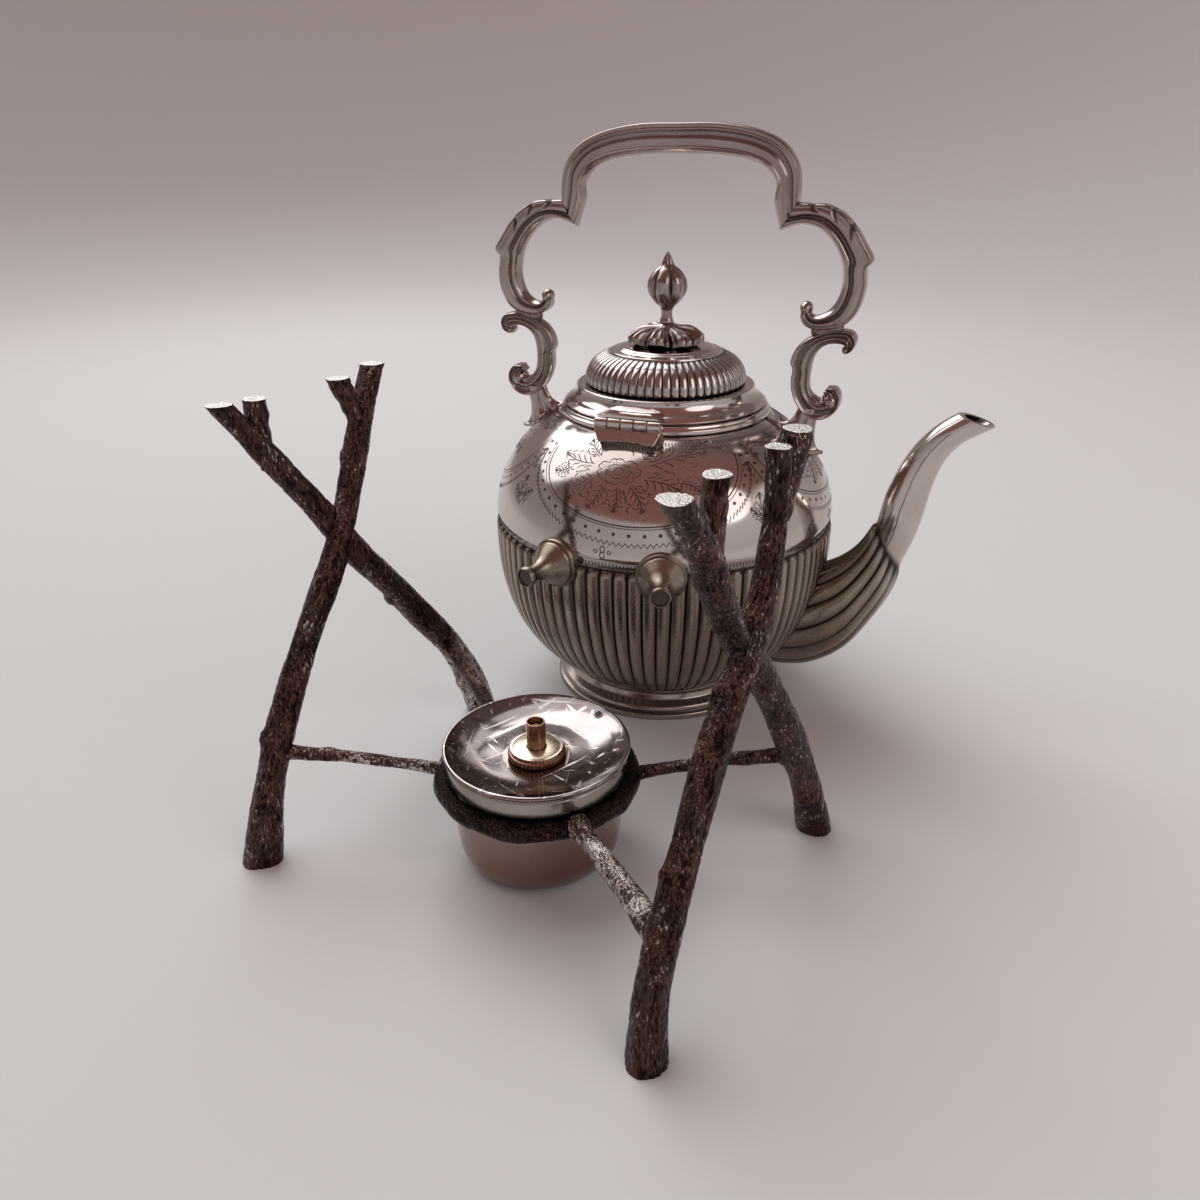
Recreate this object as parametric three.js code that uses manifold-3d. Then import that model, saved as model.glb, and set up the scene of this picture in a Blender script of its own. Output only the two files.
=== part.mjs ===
// A spirit kettle with its branch stand and spirit burner, in millimetres, +Z up.
// The stand has two crossed pairs of cast branches and a ring for the burner. The kettle stands
// on its own foot behind the stand, turned so that its spout points to the right.
import * as THREE from "three";
import Module from "manifold-3d";

const wasm = await Module();
wasm.setup();

// General sizes
const WALL = 1.2; // silver sheet
const SEAM = 0.3; // gap left at soldered seams, seats and running fits
const OVERRUN = 6; // how far a cutting solid runs past what it cuts

// Numbers of sides of round pieces
const RIM_SIDES = 40;
const BODY_TRIM_SIDES = 60;
const BURNER_SIDES = 36;
const SMALL_SIDES = 18;
const PIN_SIDES = 12;

// Kettle body, measured from the floor it stands on
const KETTLE_X = -31.4;
const KETTLE_Y = 144.8;
const KETTLE_TURN = THREE.MathUtils.degToRad(12);
const BODY_R = 78; // widest radius
const BODY_WIDE_Z = 81; // height of the widest ring
const BODY_FOOT_R = 45.5;
const BODY_FOOT_Z = 13;
const BODY_NECK_R = 46;
const BODY_NECK_Z = 133;
const BODY_FULLNESS = { below: 2.45, above: 2.3 }; // 2 is a plain oval
const FLUTE_COUNT = 80;
const FLUTE_DEPTH = 1.8;
const FLUTE_RISE = 4; // how far the flutes run up past the widest ring
const FLUTE_TOP_Z = BODY_WIDE_Z + FLUTE_RISE;
const FLUTE_END = 3; // length over which a flute's round top runs out
const PORT_R = 8; // hole in the body's wall behind the spout
const PORT_Z = 44;

// Kettle foot
const FOOT_SPREAD = 5.5; // how far the foot stands out past the body's lower end
const FOOT_R = BODY_FOOT_R + FOOT_SPREAD;
const FOOT_RIM_WALL = 2.4;

// Neck collar that the lid seats on
const COLLAR_BEAD = 0.8; // how far its bead stands out past the neck
const COLLAR_LEDGE = 2.6; // how far it reaches in over the neck
const COLLAR_R = BODY_NECK_R + COLLAR_BEAD;
const COLLAR_BORE_R = BODY_NECK_R - COLLAR_LEDGE;
const COLLAR_H = 3.7;

// Spout
const SPOUT_REACH = 139; // from the kettle's axis to the lip
const SPOUT_Z = 142; // height of the throat's edge at the mouth
const SPOUT_WALL = 1.3;
const SPOUT_HALF_WIDTH = 17.5; // at its root
const SPOUT_RIBS = 14;
const SPOUT_RIB_DEPTH = 1.5;

// Handle: its outline is symmetric, and leans a little towards the spout
const HANDLE_OVERHANG = 2; // how far the scrolls stand out past the body's widest ring
const HANDLE_HALF = BODY_R + HANDLE_OVERHANG;
const HANDLE_FOOT_RISE = 2;
const HANDLE_FOOT_Z = BODY_NECK_Z + HANDLE_FOOT_RISE;
const HANDLE_H = 114;
const HANDLE_TOP_Z = HANDLE_FOOT_Z + HANDLE_H;
const HANDLE_SHIFT = 0.6;
const HANDLE_LEAN = 3.9;
const HANDLE_DEPTH = 10.5; // thickness across the handle's plane
const LEAF_FOOT_HALF = 8.5; // half width of the leaf foot that is soldered to the shoulder

// Hanging studs, two on each side
const STUD_SPREAD = THREE.MathUtils.degToRad(17);
const STUD_RISE = 3.5; // how far the studs' axes lie above the widest ring
const STUD_Z = BODY_WIDE_Z + STUD_RISE;
const STUD_LENGTH = 20; // from the body's widest ring to the end of the peg
const STUD_BOSS_R = 10.6;
const STUD_PEG_R = 3.2;
const STUD_KNOB_R = 4.3;

// Lid
const LID_BASE_Z = BODY_NECK_Z + SEAM + COLLAR_H + SEAM;
const LID_INSET = 1.1; // how far its rim stays inside the neck's outside
const LID_RIM_R = BODY_NECK_R - LID_INSET;
const COVE_WIDTH = 5.6;
const COVE_H = 7.9;
const LID_RING_R = LID_RIM_R - COVE_WIDTH;
const LID_RING_Z = LID_BASE_Z + COVE_H;
const BEZEL_WALL = 0.9;
const BEZEL_DROP = 2.8;
const BEZEL_PLAY = 0.6;
const DOME_INSET = 3.5;
const DOME_R = LID_RING_R - DOME_INSET;
const DOME_TOP_R = 25.2;
const DOME_H = 14;
const DOME_TOP_Z = LID_RING_Z + DOME_H;
const REED_COUNT = 60;
const REED_DEPTH = 1;

// Finial
const CALYX_R = 15.8;
const CALYX_H = 7.2;
const CALYX_LOBES = 8;
const BUD_R = 8.7;
const BUD_RISE = 26.6; // from the dome's top to the bud's widest ring
const BUD_Z = DOME_TOP_Z + BUD_RISE;
const BUD_LOBES = 6;
const TIP_RISE = 14.2;
const FINIAL_TIP_Z = BUD_Z + TIP_RISE;
const STEM_R = 2.4;
const POST_R = 1.5;
const NUT_R = 4;
const NUT_H = 2.4;

// Lid hinge
const HINGE_REACH = 3.2; // from the collar's outside to the pin's axis
const HINGE_R = COLLAR_R + HINGE_REACH;
const HINGE_RISE = 1.3; // from the lid's underside to the pin's axis
const HINGE_Z = LID_BASE_Z + HINGE_RISE;
const HINGE_LENGTH = 28.4;
const KNUCKLE_COUNT = 5;
const KNUCKLE_R = 2.3;
const HINGE_PIN_R = 0.8;
const LEAF_PLATE = 1.3;
const LEAF_DROP = 10;
const LID_LEAF_RISE = 3.6;

// Stand
const STAND_H = 166;
const STANCE_X = 80; // about half the distance between the two crossed pairs
const STANCE_Y = 64; // half the distance between the feet of one crossed pair
const BRANCH_R = 5.8;
const PRONG_R = 4.3;
const TWIG_R = 2.7; // the branches that carry the ring
const CROSS_OFFSET = 1.5; // how far each branch of a crossed pair stands off their middle plane
const FRAMES = {
  left: { side: -1, crossShare: 1.0525, topShare: 1.2375 },
  right: { side: 1, crossShare: 0.94125, topShare: 0.9375 },
};

// Burner ring and burner
const BURNER_X = -0.8; // the ring sits a little towards the left pair of branches
const RING_R = 34.2;
const RING_TUBE_R = 3.6;
const RING_Z = 34.1;
const BOWL_R = 30.5;
const BOWL_BASE_Z = 1.2;
const BURNER_WALL = 0.9;
const DRUM_R = 32.9;
const DRUM_H = 7.2;
const DISH_R = 34;
const DISH_SINK = 5.6; // how far the dish dips from its rim to its middle
const VENT_R = 1.3;
const VENT_REACH = 30.2;
const VENT_TURN = THREE.MathUtils.degToRad(75);
const BUSH_R = 7.2;
const BUSH_BORE_R = 5.5;
const BUSH_FLANGE_R = 9.6;
const BUSH_DROP = 4.6;
const KNURL_R = 10.5;
const KNURL_COUNT = 24;
const WICK_TUBE_R = 3.45;
const WICK_TUBE_WALL = 0.6;
const WICK_TUBE_TOP_Z = 56;
const WICK_SINK = 2.2; // how far the wick's end lies below the tube's end
const WICK_END_Z = 8;

// Materials
const silver = new THREE.MeshStandardMaterial({ color: 0xd9d5cf, roughness: 0.16, metalness: 1 });
const oxidised = new THREE.MeshStandardMaterial({ color: 0x4a413f, roughness: 0.45, metalness: 1 });
const brass = new THREE.MeshStandardMaterial({ color: 0xb98d63, roughness: 0.3, metalness: 1 });
const cotton = new THREE.MeshStandardMaterial({ color: 0xcfc4ae, roughness: 0.95, metalness: 0 });

// Geometry helpers

// A closed skin through rings of points. Rings run counterclockwise about the way the skin runs.
// Neighbouring rings have equal counts, or one has a whole multiple of the other's.
function skin(rings, { loop = false, startPoint = null, endPoint = null } = {}) {
  const positions = [];
  const starts = rings.map((ring) => {
    const start = positions.length / 3;
    ring.forEach((point) => positions.push(point.x, point.y, point.z));
    return start;
  });
  const index = [];
  const bridge = (from, to) => {
    const a = rings[from].length;
    const b = rings[to].length;
    const at = (j) => starts[from] + (j % a);
    const bt = (j) => starts[to] + (j % b);
    const fine = Math.max(a, b);
    const coarse = Math.min(a, b);
    const step = fine / coarse;
    const turn = Math.ceil(step / 2);
    for (let j = 0; j < coarse; j += 1) {
      for (let i = 0; i < step; i += 1) {
        const near = i < turn ? j : j + 1;
        const first = j * step + i;
        if (a >= b) index.push(at(first), at(first + 1), bt(near));
        else index.push(at(near), bt(first + 1), bt(first));
      }
      if (a >= b) index.push(at(j * step + turn), bt(j + 1), bt(j));
      else index.push(at(j), at(j + 1), bt(j * step + turn));
    }
  };
  for (let i = 0; i + 1 < rings.length; i += 1) bridge(i, i + 1);
  if (loop) bridge(rings.length - 1, 0);
  const cap = (which, point, flip) => {
    const ring = rings[which];
    const middle = new THREE.Vector3();
    ring.forEach((corner) => middle.addScaledVector(corner, 1 / ring.length));
    const centre = positions.length / 3;
    const tip = point ?? middle;
    positions.push(tip.x, tip.y, tip.z);
    for (let j = 0; j < ring.length; j += 1) {
      const first = starts[which] + j;
      const second = starts[which] + ((j + 1) % ring.length);
      index.push(centre, flip ? second : first, flip ? first : second);
    }
  };
  if (!loop) {
    cap(0, startPoint, true);
    cap(rings.length - 1, endPoint, false);
  }
  const geometry = new THREE.BufferGeometry();
  geometry.setAttribute("position", new THREE.Float32BufferAttribute(positions, 3));
  geometry.setIndex(index);
  geometry.computeVertexNormals();
  return geometry;
}

// A round ring about the Z axis. Every second point can be drawn in, which makes flutes and reeds.
function roundRing(radius, z, count, groove = 0) {
  return Array.from({ length: count }, (_, j) => {
    const angle = (j / count) * Math.PI * 2;
    const r = radius - (j % 2 ? groove : 0);
    return new THREE.Vector3(r * Math.cos(angle), r * Math.sin(angle), z);
  });
}

// A round piece turned from [radius, z] points, as a closed ring or from axis to axis.
function turned(profile, count, loop = true) {
  if (loop) return skin(profile.map(([r, z]) => roundRing(r, z, count)), { loop });
  const inner = profile.slice(1, -1);
  const ends = [profile[0], profile.at(-1)].map(([, z]) => new THREE.Vector3(0, 0, z));
  const rings = inner.map(([r, z]) => roundRing(r, z, count));
  return skin(rings, { startPoint: ends[0], endPoint: ends[1] });
}

function solidOf(geometry) {
  const vertProperties = new Float32Array(geometry.attributes.position.array);
  const triVerts = new Uint32Array(geometry.index.array);
  return new wasm.Manifold(new wasm.Mesh({ numProp: 3, vertProperties, triVerts }));
}

function geometryOf(solid) {
  const mesh = solid.getMesh();
  const geometry = new THREE.BufferGeometry();
  geometry.setAttribute("position", new THREE.Float32BufferAttribute(mesh.vertProperties, 3));
  geometry.setIndex(Array.from(mesh.triVerts));
  geometry.computeVertexNormals();
  return geometry;
}

// Takes the cutters away and keeps the largest piece that is left
function cut(geometry, ...cutters) {
  const rest = cutters.reduce((solid, cutter) => solid.subtract(solidOf(cutter)), solidOf(geometry));
  const pieces = rest.decompose().sort((a, b) => b.volume() - a.volume());
  return geometryOf(pieces[0]);
}

function joined(...geometries) {
  return geometryOf(geometries.slice(1).reduce((solid, g) => solid.add(solidOf(g)), solidOf(geometries[0])));
}

function common(first, second) {
  return geometryOf(solidOf(first).intersect(solidOf(second)));
}

// A plain round bar along Z, centred on the origin's axis
function bar(radius, fromZ, toZ, count) {
  return turned([[0, fromZ], [radius, fromZ], [radius, toZ], [0, toZ]], count, false);
}

// A prism of an outline in the XZ plane, reaching half its depth either side of y = 0
function slab(outline, depth) {
  const half = depth / 2;
  const rings = [half, -half].map((y) => outline.map(([x, z]) => new THREE.Vector3(x, y, z)));
  const area = THREE.ShapeUtils.area(outline.map(([x, z]) => new THREE.Vector2(x, z)));
  if (area < 0) rings.forEach((ring) => ring.reverse());
  return skinByShape(rings[0], rings[1]);
}

// A prism between two copies of one outline, for outlines that are not convex
function skinByShape(near, far) {
  const flat = near.map((point) => new THREE.Vector2(point.x, point.z));
  const faces = THREE.ShapeUtils.triangulateShape(flat, []);
  const count = near.length;
  const positions = [...near, ...far].flatMap((point) => [point.x, point.y, point.z]);
  const index = [];
  faces.forEach(([a, b, c]) => {
    index.push(a, c, b);
    index.push(count + a, count + b, count + c);
  });
  for (let j = 0; j < count; j += 1) {
    const next = (j + 1) % count;
    index.push(j, next, count + j);
    index.push(next, count + next, count + j);
  }
  const geometry = new THREE.BufferGeometry();
  geometry.setAttribute("position", new THREE.Float32BufferAttribute(positions, 3));
  geometry.setIndex(index);
  geometry.computeVertexNormals();
  return geometry;
}

// A bar lofted through pairs of outline points [outerX, outerZ, innerX, innerZ, halfDepth] that
// lie in the XZ plane. The section is a list of [along, across] shares of half its size.
function loft(pairs, section, { startPoint = null, endPoint = null } = {}) {
  const middles = pairs.map(([ox, oz, ix, iz]) => new THREE.Vector3((ox + ix) / 2, 0, (oz + iz) / 2));
  const rings = pairs.map(([ox, oz, ix, iz, half], i) => {
    const along = new THREE.Vector3((ox - ix) / 2, 0, (oz - iz) / 2);
    const ahead = middles[Math.min(i + 1, middles.length - 1)].clone();
    const run = ahead.sub(middles[Math.max(i - 1, 0)]);
    const side = Math.sign(run.clone().cross(along).y);
    return section.map(([a, b]) => {
      const point = middles[i].clone().addScaledVector(along, a);
      point.y += side * half * b;
      return point;
    });
  });
  return skin(rings, { startPoint, endPoint });
}

// The section of the handle's bars: eight sides with broad chamfers
const BAR_SECTION_SHARES = [
  [1, 0], [0.86, 0.62], [0.34, 0.96], [-0.34, 0.96], [-0.86, 0.62],
  [-1, 0], [-0.86, -0.62], [-0.34, -0.96], [0.34, -0.96], [0.86, -0.62],
];

function ovalShares(count, groove = 0) {
  return Array.from({ length: count }, (_, j) => {
    const angle = (j / count) * Math.PI * 2;
    const size = 1 - (j % 2 ? groove : 0);
    return [size * Math.cos(angle), size * Math.sin(angle)];
  });
}

const lerp = THREE.MathUtils.lerp;

// The value at a share along a table of [share, value] pairs
function valueAlong(table, share) {
  const last = table.length - 1;
  const upper = Math.max(1, table.findIndex(([at]) => at >= share));
  const [from, a] = table[upper - 1];
  const [to, b] = table[Math.min(upper, last)];
  return lerp(a, b, THREE.MathUtils.clamp((share - from) / (to - from), 0, 1));
}

// Kettle

function bodyRadius(z) {
  const below = z < BODY_WIDE_Z;
  const endR = below ? BODY_FOOT_R : BODY_NECK_R;
  const run = below ? BODY_WIDE_Z - BODY_FOOT_Z : BODY_NECK_Z - BODY_WIDE_Z;
  const power = below ? BODY_FULLNESS.below : BODY_FULLNESS.above;
  const halfHeight = run / (1 - (endR / BODY_R) ** power) ** (1 / power);
  return BODY_R * (1 - (Math.abs(z - BODY_WIDE_Z) / halfHeight) ** power) ** (1 / power);
}

// Heights of the body's rings: up the flutes from the foot, then up the shoulder to the neck
const FLUTE_RING_SHARES = [0, 0.08, 0.2, 0.38, 0.66, 1];
const SHOULDER_RING_SHARES = [0.25, 0.5, 0.7, 0.86, 1];

function fluteHeights() {
  return FLUTE_RING_SHARES.map((share) => lerp(BODY_FOOT_Z, FLUTE_TOP_Z - FLUTE_END, share));
}

function shoulderHeights() {
  return SHOULDER_RING_SHARES.map((share) => lerp(FLUTE_TOP_Z, BODY_NECK_Z, share));
}

function kettleBody() {
  const points = FLUTE_COUNT * 2;
  const plain = FLUTE_COUNT / 2;
  const rings = fluteHeights().map((z) => roundRing(bodyRadius(z), z, points, FLUTE_DEPTH));
  rings.push(roundRing(bodyRadius(FLUTE_TOP_Z), FLUTE_TOP_Z, points));
  shoulderHeights().forEach((z) => rings.push(roundRing(bodyRadius(z), z, plain)));
  rings.push(roundRing(BODY_NECK_R - WALL, BODY_NECK_Z, plain));
  shoulderHeights().slice(0, -1).reverse().forEach((z) => {
    rings.push(roundRing(bodyRadius(z) - WALL, z, plain));
  });
  fluteHeights().slice(1).reverse().forEach((z) => {
    rings.push(roundRing(bodyRadius(z) - WALL - FLUTE_DEPTH, z, plain));
  });
  const floor = BODY_FOOT_Z + WALL;
  rings.push(roundRing(bodyRadius(floor) - WALL - FLUTE_DEPTH, floor, plain));
  const port = bar(PORT_R, BODY_FOOT_R, BODY_R + OVERRUN, SMALL_SIDES);
  port.rotateY(Math.PI / 2).translate(0, 0, PORT_Z);
  return cut(skin(rings), port);
}

// The plain outer shape of the body, grown by a gap, which trims what is soldered on
function bodyEnvelope(gap) {
  const grow = 1 / Math.cos(Math.PI / BODY_TRIM_SIDES);
  const profile = [...fluteHeights(), FLUTE_TOP_Z, ...shoulderHeights()].map((z) => {
    const lift = gap * (z - BODY_WIDE_Z) / (BODY_NECK_Z - BODY_WIDE_Z);
    return [bodyRadius(z) * grow + gap, z + lift];
  });
  return turned([[0, profile[0][1]], ...profile, [0, profile.at(-1)[1]]], BODY_TRIM_SIDES, false);
}

function collarEnvelope(gap) {
  const top = BODY_NECK_Z + SEAM + COLLAR_H + gap;
  return bar(COLLAR_R / Math.cos(Math.PI / RIM_SIDES) + gap, BODY_NECK_Z - OVERRUN, top, RIM_SIDES);
}

// The foot's stepped outside from the table up, then its inside from the top down
const FOOT_SHARES = [
  [1, 0], [0.995, 0.2], [0.955, 0.26], [0.97, 0.32], [0.962, 0.45], [0.89, 0.6], [0.872, 0.8],
  [0.9, 1], [0.85, 1], [0.855, 0.58], [0.93, 0.24],
];

function kettleFoot() {
  const top = BODY_FOOT_Z - SEAM;
  const profile = FOOT_SHARES.map(([r, z]) => [FOOT_R * r, top * z]);
  return turned([...profile, [FOOT_R - FOOT_RIM_WALL, 0]], RIM_SIDES);
}

function kettleCollar() {
  const z = BODY_NECK_Z + SEAM;
  return turned([
    [COLLAR_BORE_R, z], [BODY_NECK_R, z], [COLLAR_R, z + COLLAR_H * 0.16],
    [COLLAR_R, z + COLLAR_H * 0.52], [BODY_NECK_R, z + COLLAR_H * 0.68],
    [BODY_NECK_R - WALL / 2, z + COLLAR_H], [COLLAR_BORE_R, z + COLLAR_H],
  ], RIM_SIDES);
}

// Spout outline pairs, from inside the body to the mouth: the throat's x and z, the breast's x
// and z, and the half width, as shares of the reach, the height and the root's half width
const SPOUT_PAIR_SHARES = [
  [0.36, 0.4, 0.3, 0.13, 0.86],
  [0.475, 0.44, 0.4, 0.108, 0.98],
  [0.56, 0.488, 0.535, 0.128, 1],
  [0.61, 0.52, 0.645, 0.2, 0.87],
  [0.652, 0.562, 0.722, 0.315, 0.71],
  [0.682, 0.614, 0.776, 0.425, 0.58],
  [0.701, 0.676, 0.806, 0.535, 0.51],
  [0.727, 0.762, 0.835, 0.666, 0.46],
  [0.755, 0.837, 0.854, 0.782, 0.43],
  [0.792, 0.902, 0.879, 0.858, 0.41],
  [0.842, 0.958, 0.922, 0.914, 0.41],
  [0.903, 1.002, 0.975, 0.949, 0.37],
  [0.938, 1.022, 1.0, 0.964, 0.34],
];
const SPOUT_RIB_END = 6; // the pair at which the ribs have run out

function spoutPairs(inset) {
  return SPOUT_PAIR_SHARES.map(([tx, tz, bx, bz, half]) => {
    const throat = new THREE.Vector2(SPOUT_REACH * tx, SPOUT_Z * tz);
    const breast = new THREE.Vector2(SPOUT_REACH * bx, SPOUT_Z * bz);
    const pull = throat.clone().sub(breast).setLength(inset);
    throat.sub(pull);
    breast.add(pull);
    return [throat.x, throat.y, breast.x, breast.y, SPOUT_HALF_WIDTH * half - inset];
  });
}

function spoutSkin(inset, ribbed) {
  const count = ribbed ? SPOUT_RIBS * 2 : 16;
  const pairs = spoutPairs(inset);
  const rings = pairs.map(([ox, oz, ix, iz, half], i) => {
    const size = Math.hypot(ox - ix, oz - iz) / 2;
    const fade = THREE.MathUtils.clamp((SPOUT_RIB_END - i) / 2, 0, 1);
    const groove = ribbed ? (SPOUT_RIB_DEPTH / size) * fade : 0;
    return ovalShares(count, groove).map(([a, b]) => new THREE.Vector3(
      lerp(ix, ox, (1 + a) / 2), -half * b, lerp(iz, oz, (1 + a) / 2),
    ));
  });
  return skin(rings);
}

function spout() {
  const bore = spoutSkin(SPOUT_WALL + SPOUT_RIB_DEPTH * 0.4, false);
  const mouth = slab([
    [SPOUT_REACH * 0.8, SPOUT_Z * 1.022], [SPOUT_REACH * 1.1, SPOUT_Z * 0.94],
    [SPOUT_REACH * 1.1, SPOUT_Z * 1.3], [SPOUT_REACH * 0.8, SPOUT_Z * 1.3],
  ], SPOUT_HALF_WIDTH * 2);
  return cut(spoutSkin(0, true), bore, bodyEnvelope(SEAM), mouth);
}

// Handle outlines, as shares of the half width and of the height above the handle's feet
function handlePoint(shareX, shareZ, side) {
  const x = side * HANDLE_HALF * shareX + HANDLE_SHIFT + HANDLE_LEAN * shareZ;
  return [x, HANDLE_FOOT_Z + HANDLE_H * shareZ];
}

function handlePairs(shares, side) {
  return shares.map(([ox, oz, ix, iz, depth]) => [
    ...handlePoint(ox, oz, side), ...handlePoint(ix, iz, side), (HANDLE_DEPTH / 2) * depth,
  ]);
}

const GRIP_PAIR_SHARES = [
  [0, 1, 0, 0.896, 1],
  [0.215, 0.997, 0.19, 0.892, 1],
  [0.41, 0.972, 0.36, 0.876, 0.98],
  [0.535, 0.93, 0.458, 0.846, 0.95],
  [0.606, 0.866, 0.506, 0.798, 0.92],
  [0.628, 0.8, 0.504, 0.745, 0.9],
  [0.625, 0.744, 0.545, 0.65, 0.9],
];

function handleGrip() {
  const half = GRIP_PAIR_SHARES.slice(1);
  const right = handlePairs(half, 1);
  const left = handlePairs(half, -1).reverse();
  return loft([...left, ...handlePairs([GRIP_PAIR_SHARES[0]], 1), ...right], BAR_SECTION_SHARES);
}

// From the grip's mitre, over the back with its leaf tip, to the curled lower end
const SCROLL_PAIR_SHARES = [
  [0.63, 0.746, 0.55, 0.652, 0.9],
  [0.762, 0.742, 0.694, 0.666, 0.95],
  [0.882, 0.71, 0.788, 0.628, 1],
  [0.966, 0.648, 0.854, 0.566, 1.02],
  [1.025, 0.56, 0.884, 0.508, 1.04],
  [1.006, 0.52, 0.884, 0.48, 0.96],
  [1, 0.446, 0.87, 0.44, 0.92],
  [0.972, 0.364, 0.822, 0.394, 0.88],
  [0.87, 0.328, 0.768, 0.378, 0.82],
  [0.748, 0.328, 0.742, 0.382, 0.74],
  [0.69, 0.355, 0.742, 0.394, 0.66],
  [0.69, 0.405, 0.75, 0.404, 0.5],
];

function handleScroll(side) {
  return loft(handlePairs(SCROLL_PAIR_SHARES, side), BAR_SECTION_SHARES);
}

// The lower bracket: a letter C that opens outwards with both ends curled
const BRACKET_PAIR_SHARES = [
  [0.888, 0.25, 0.925, 0.282, 1.1],
  [0.968, 0.244, 0.93, 0.287, 1.16],
  [0.998, 0.3, 0.925, 0.292, 1.16],
  [0.94, 0.3235, 0.895, 0.28, 1.1],
  [0.8, 0.3235, 0.86, 0.264, 1],
  [0.72, 0.298, 0.815, 0.238, 0.92],
  [0.668, 0.248, 0.785, 0.205, 0.88],
  [0.652, 0.19, 0.772, 0.17, 0.86],
  [0.652, 0.13, 0.775, 0.135, 0.86],
  [0.68, 0.064, 0.8, 0.106, 0.86],
  [0.745, 0.006, 0.826, 0.09, 0.88],
  [0.835, -0.022, 0.84, 0.093, 0.9],
  [0.918, 0.004, 0.848, 0.101, 0.92],
  [0.957, 0.068, 0.85, 0.109, 0.9],
  [0.935, 0.13, 0.848, 0.116, 0.84],
  [0.872, 0.142, 0.84, 0.119, 0.7],
];

// The leaf foot seen from the side, and its plan, as shares of the half width
const LEAF_SIDE_SHARES = [
  [0.575, 0.014], [0.6, 0.032], [0.66, 0.014], [0.7, 0.055], [0.8, 0.01], [0.825, -0.05],
  [0.88, -0.15], [0.84, -0.2], [0.575, -0.1],
];
const LEAF_PLAN_SHARES = [
  [0.57, 0], [0.6, 0.5], [0.66, 1], [0.73, 0.62], [0.79, 0.72], [0.84, 0.5], [0.9, 0],
];

function leafFoot(side) {
  const outline = LEAF_SIDE_SHARES.map(([x, z]) => handlePoint(x, z, side));
  const profile = slab(outline, LEAF_FOOT_HALF * 2);
  const upper = LEAF_PLAN_SHARES.map(([x, y]) => [handlePoint(x, 0, side)[0], LEAF_FOOT_HALF * y]);
  const lower = upper.slice(1, -1).map(([x, y]) => [x, -y]).reverse();
  const plan = slab([...upper, ...lower], HANDLE_TOP_Z);
  plan.rotateX(Math.PI / 2).translate(0, 0, HANDLE_FOOT_Z);
  return common(profile, plan);
}

function handleBracket(side) {
  const scroll = loft(handlePairs(BRACKET_PAIR_SHARES, side), BAR_SECTION_SHARES);
  return cut(joined(scroll, leafFoot(side)), bodyEnvelope(SEAM), collarEnvelope(SEAM));
}

// A hanging stud: a bell that grips the body, a waisted neck, and a peg with a round end
function stud(angle) {
  const neck = lerp(STUD_PEG_R, STUD_BOSS_R, 0.22);
  const profile = [
    [0, -OVERRUN], [STUD_BOSS_R, -OVERRUN], [STUD_BOSS_R, STUD_LENGTH * 0.1],
    [STUD_BOSS_R * 0.93, STUD_LENGTH * 0.22], [STUD_BOSS_R * 0.68, STUD_LENGTH * 0.4],
    [neck, STUD_LENGTH * 0.58], [STUD_PEG_R, STUD_LENGTH * 0.74],
    [STUD_KNOB_R, STUD_LENGTH * 0.84], [STUD_KNOB_R, STUD_LENGTH * 0.94],
    [STUD_PEG_R, STUD_LENGTH], [0, STUD_LENGTH],
  ];
  const geometry = turned(profile, SMALL_SIDES, false);
  geometry.rotateY(Math.PI / 2).translate(BODY_R, 0, STUD_Z);
  return cut(geometry.rotateZ(angle), bodyEnvelope(SEAM));
}

// Lid

const COVE_SHARES = [[1, 0.12], [0.74, 0.28], [0.34, 0.48], [0.08, 0.76], [0, 1]];

function lidFlange() {
  const z = LID_BASE_Z;
  const rise = LID_RING_Z - z;
  const inner = DOME_R - WALL * 2;
  const spread = LID_RIM_R - LID_RING_R;
  return turned([
    [LID_RIM_R - spread * 0.1, z],
    ...COVE_SHARES.map(([r, h]) => [LID_RING_R + spread * r, z + rise * h]),
    [LID_RING_R - WALL / 2, LID_RING_Z + WALL / 3], [inner, LID_RING_Z + WALL / 3],
    [inner, LID_RING_Z - WALL], [LID_RING_R - WALL, LID_RING_Z - WALL],
    [COLLAR_BORE_R - BEZEL_PLAY - BEZEL_WALL, z],
  ], RIM_SIDES);
}

// The outside of the flange, grown by a gap
function lidEnvelope(gap) {
  const z = LID_BASE_Z;
  const rise = LID_RING_Z - z;
  const spread = LID_RIM_R - LID_RING_R;
  const grow = 1 / Math.cos(Math.PI / RIM_SIDES);
  return turned([
    [0, z - gap], [LID_RIM_R * grow + gap, z - gap],
    ...COVE_SHARES.map(([r, h]) => [(LID_RING_R + spread * r) * grow + gap, z + rise * h + gap / 2]),
    [0, LID_RING_Z + gap],
  ], RIM_SIDES, false);
}

function lidBezel() {
  const outer = COLLAR_BORE_R - BEZEL_PLAY;
  const top = LID_BASE_Z - SEAM;
  return turned([
    [outer - BEZEL_WALL, top - BEZEL_DROP], [outer, top - BEZEL_DROP], [outer, top],
    [outer - BEZEL_WALL, top],
  ], RIM_SIDES);
}

// The dome's reeded outside from its foot to its top, and its inside from the top down, as
// shares of its radius and its rise
const DOME_SHARES = [[0.99, 0], [0.985, 0.3], [0.9, 0.7], [0.72, 0.98]];
const DOME_INNER_SHARES = [[0.85, 0.6], [0.925, 0]];

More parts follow.
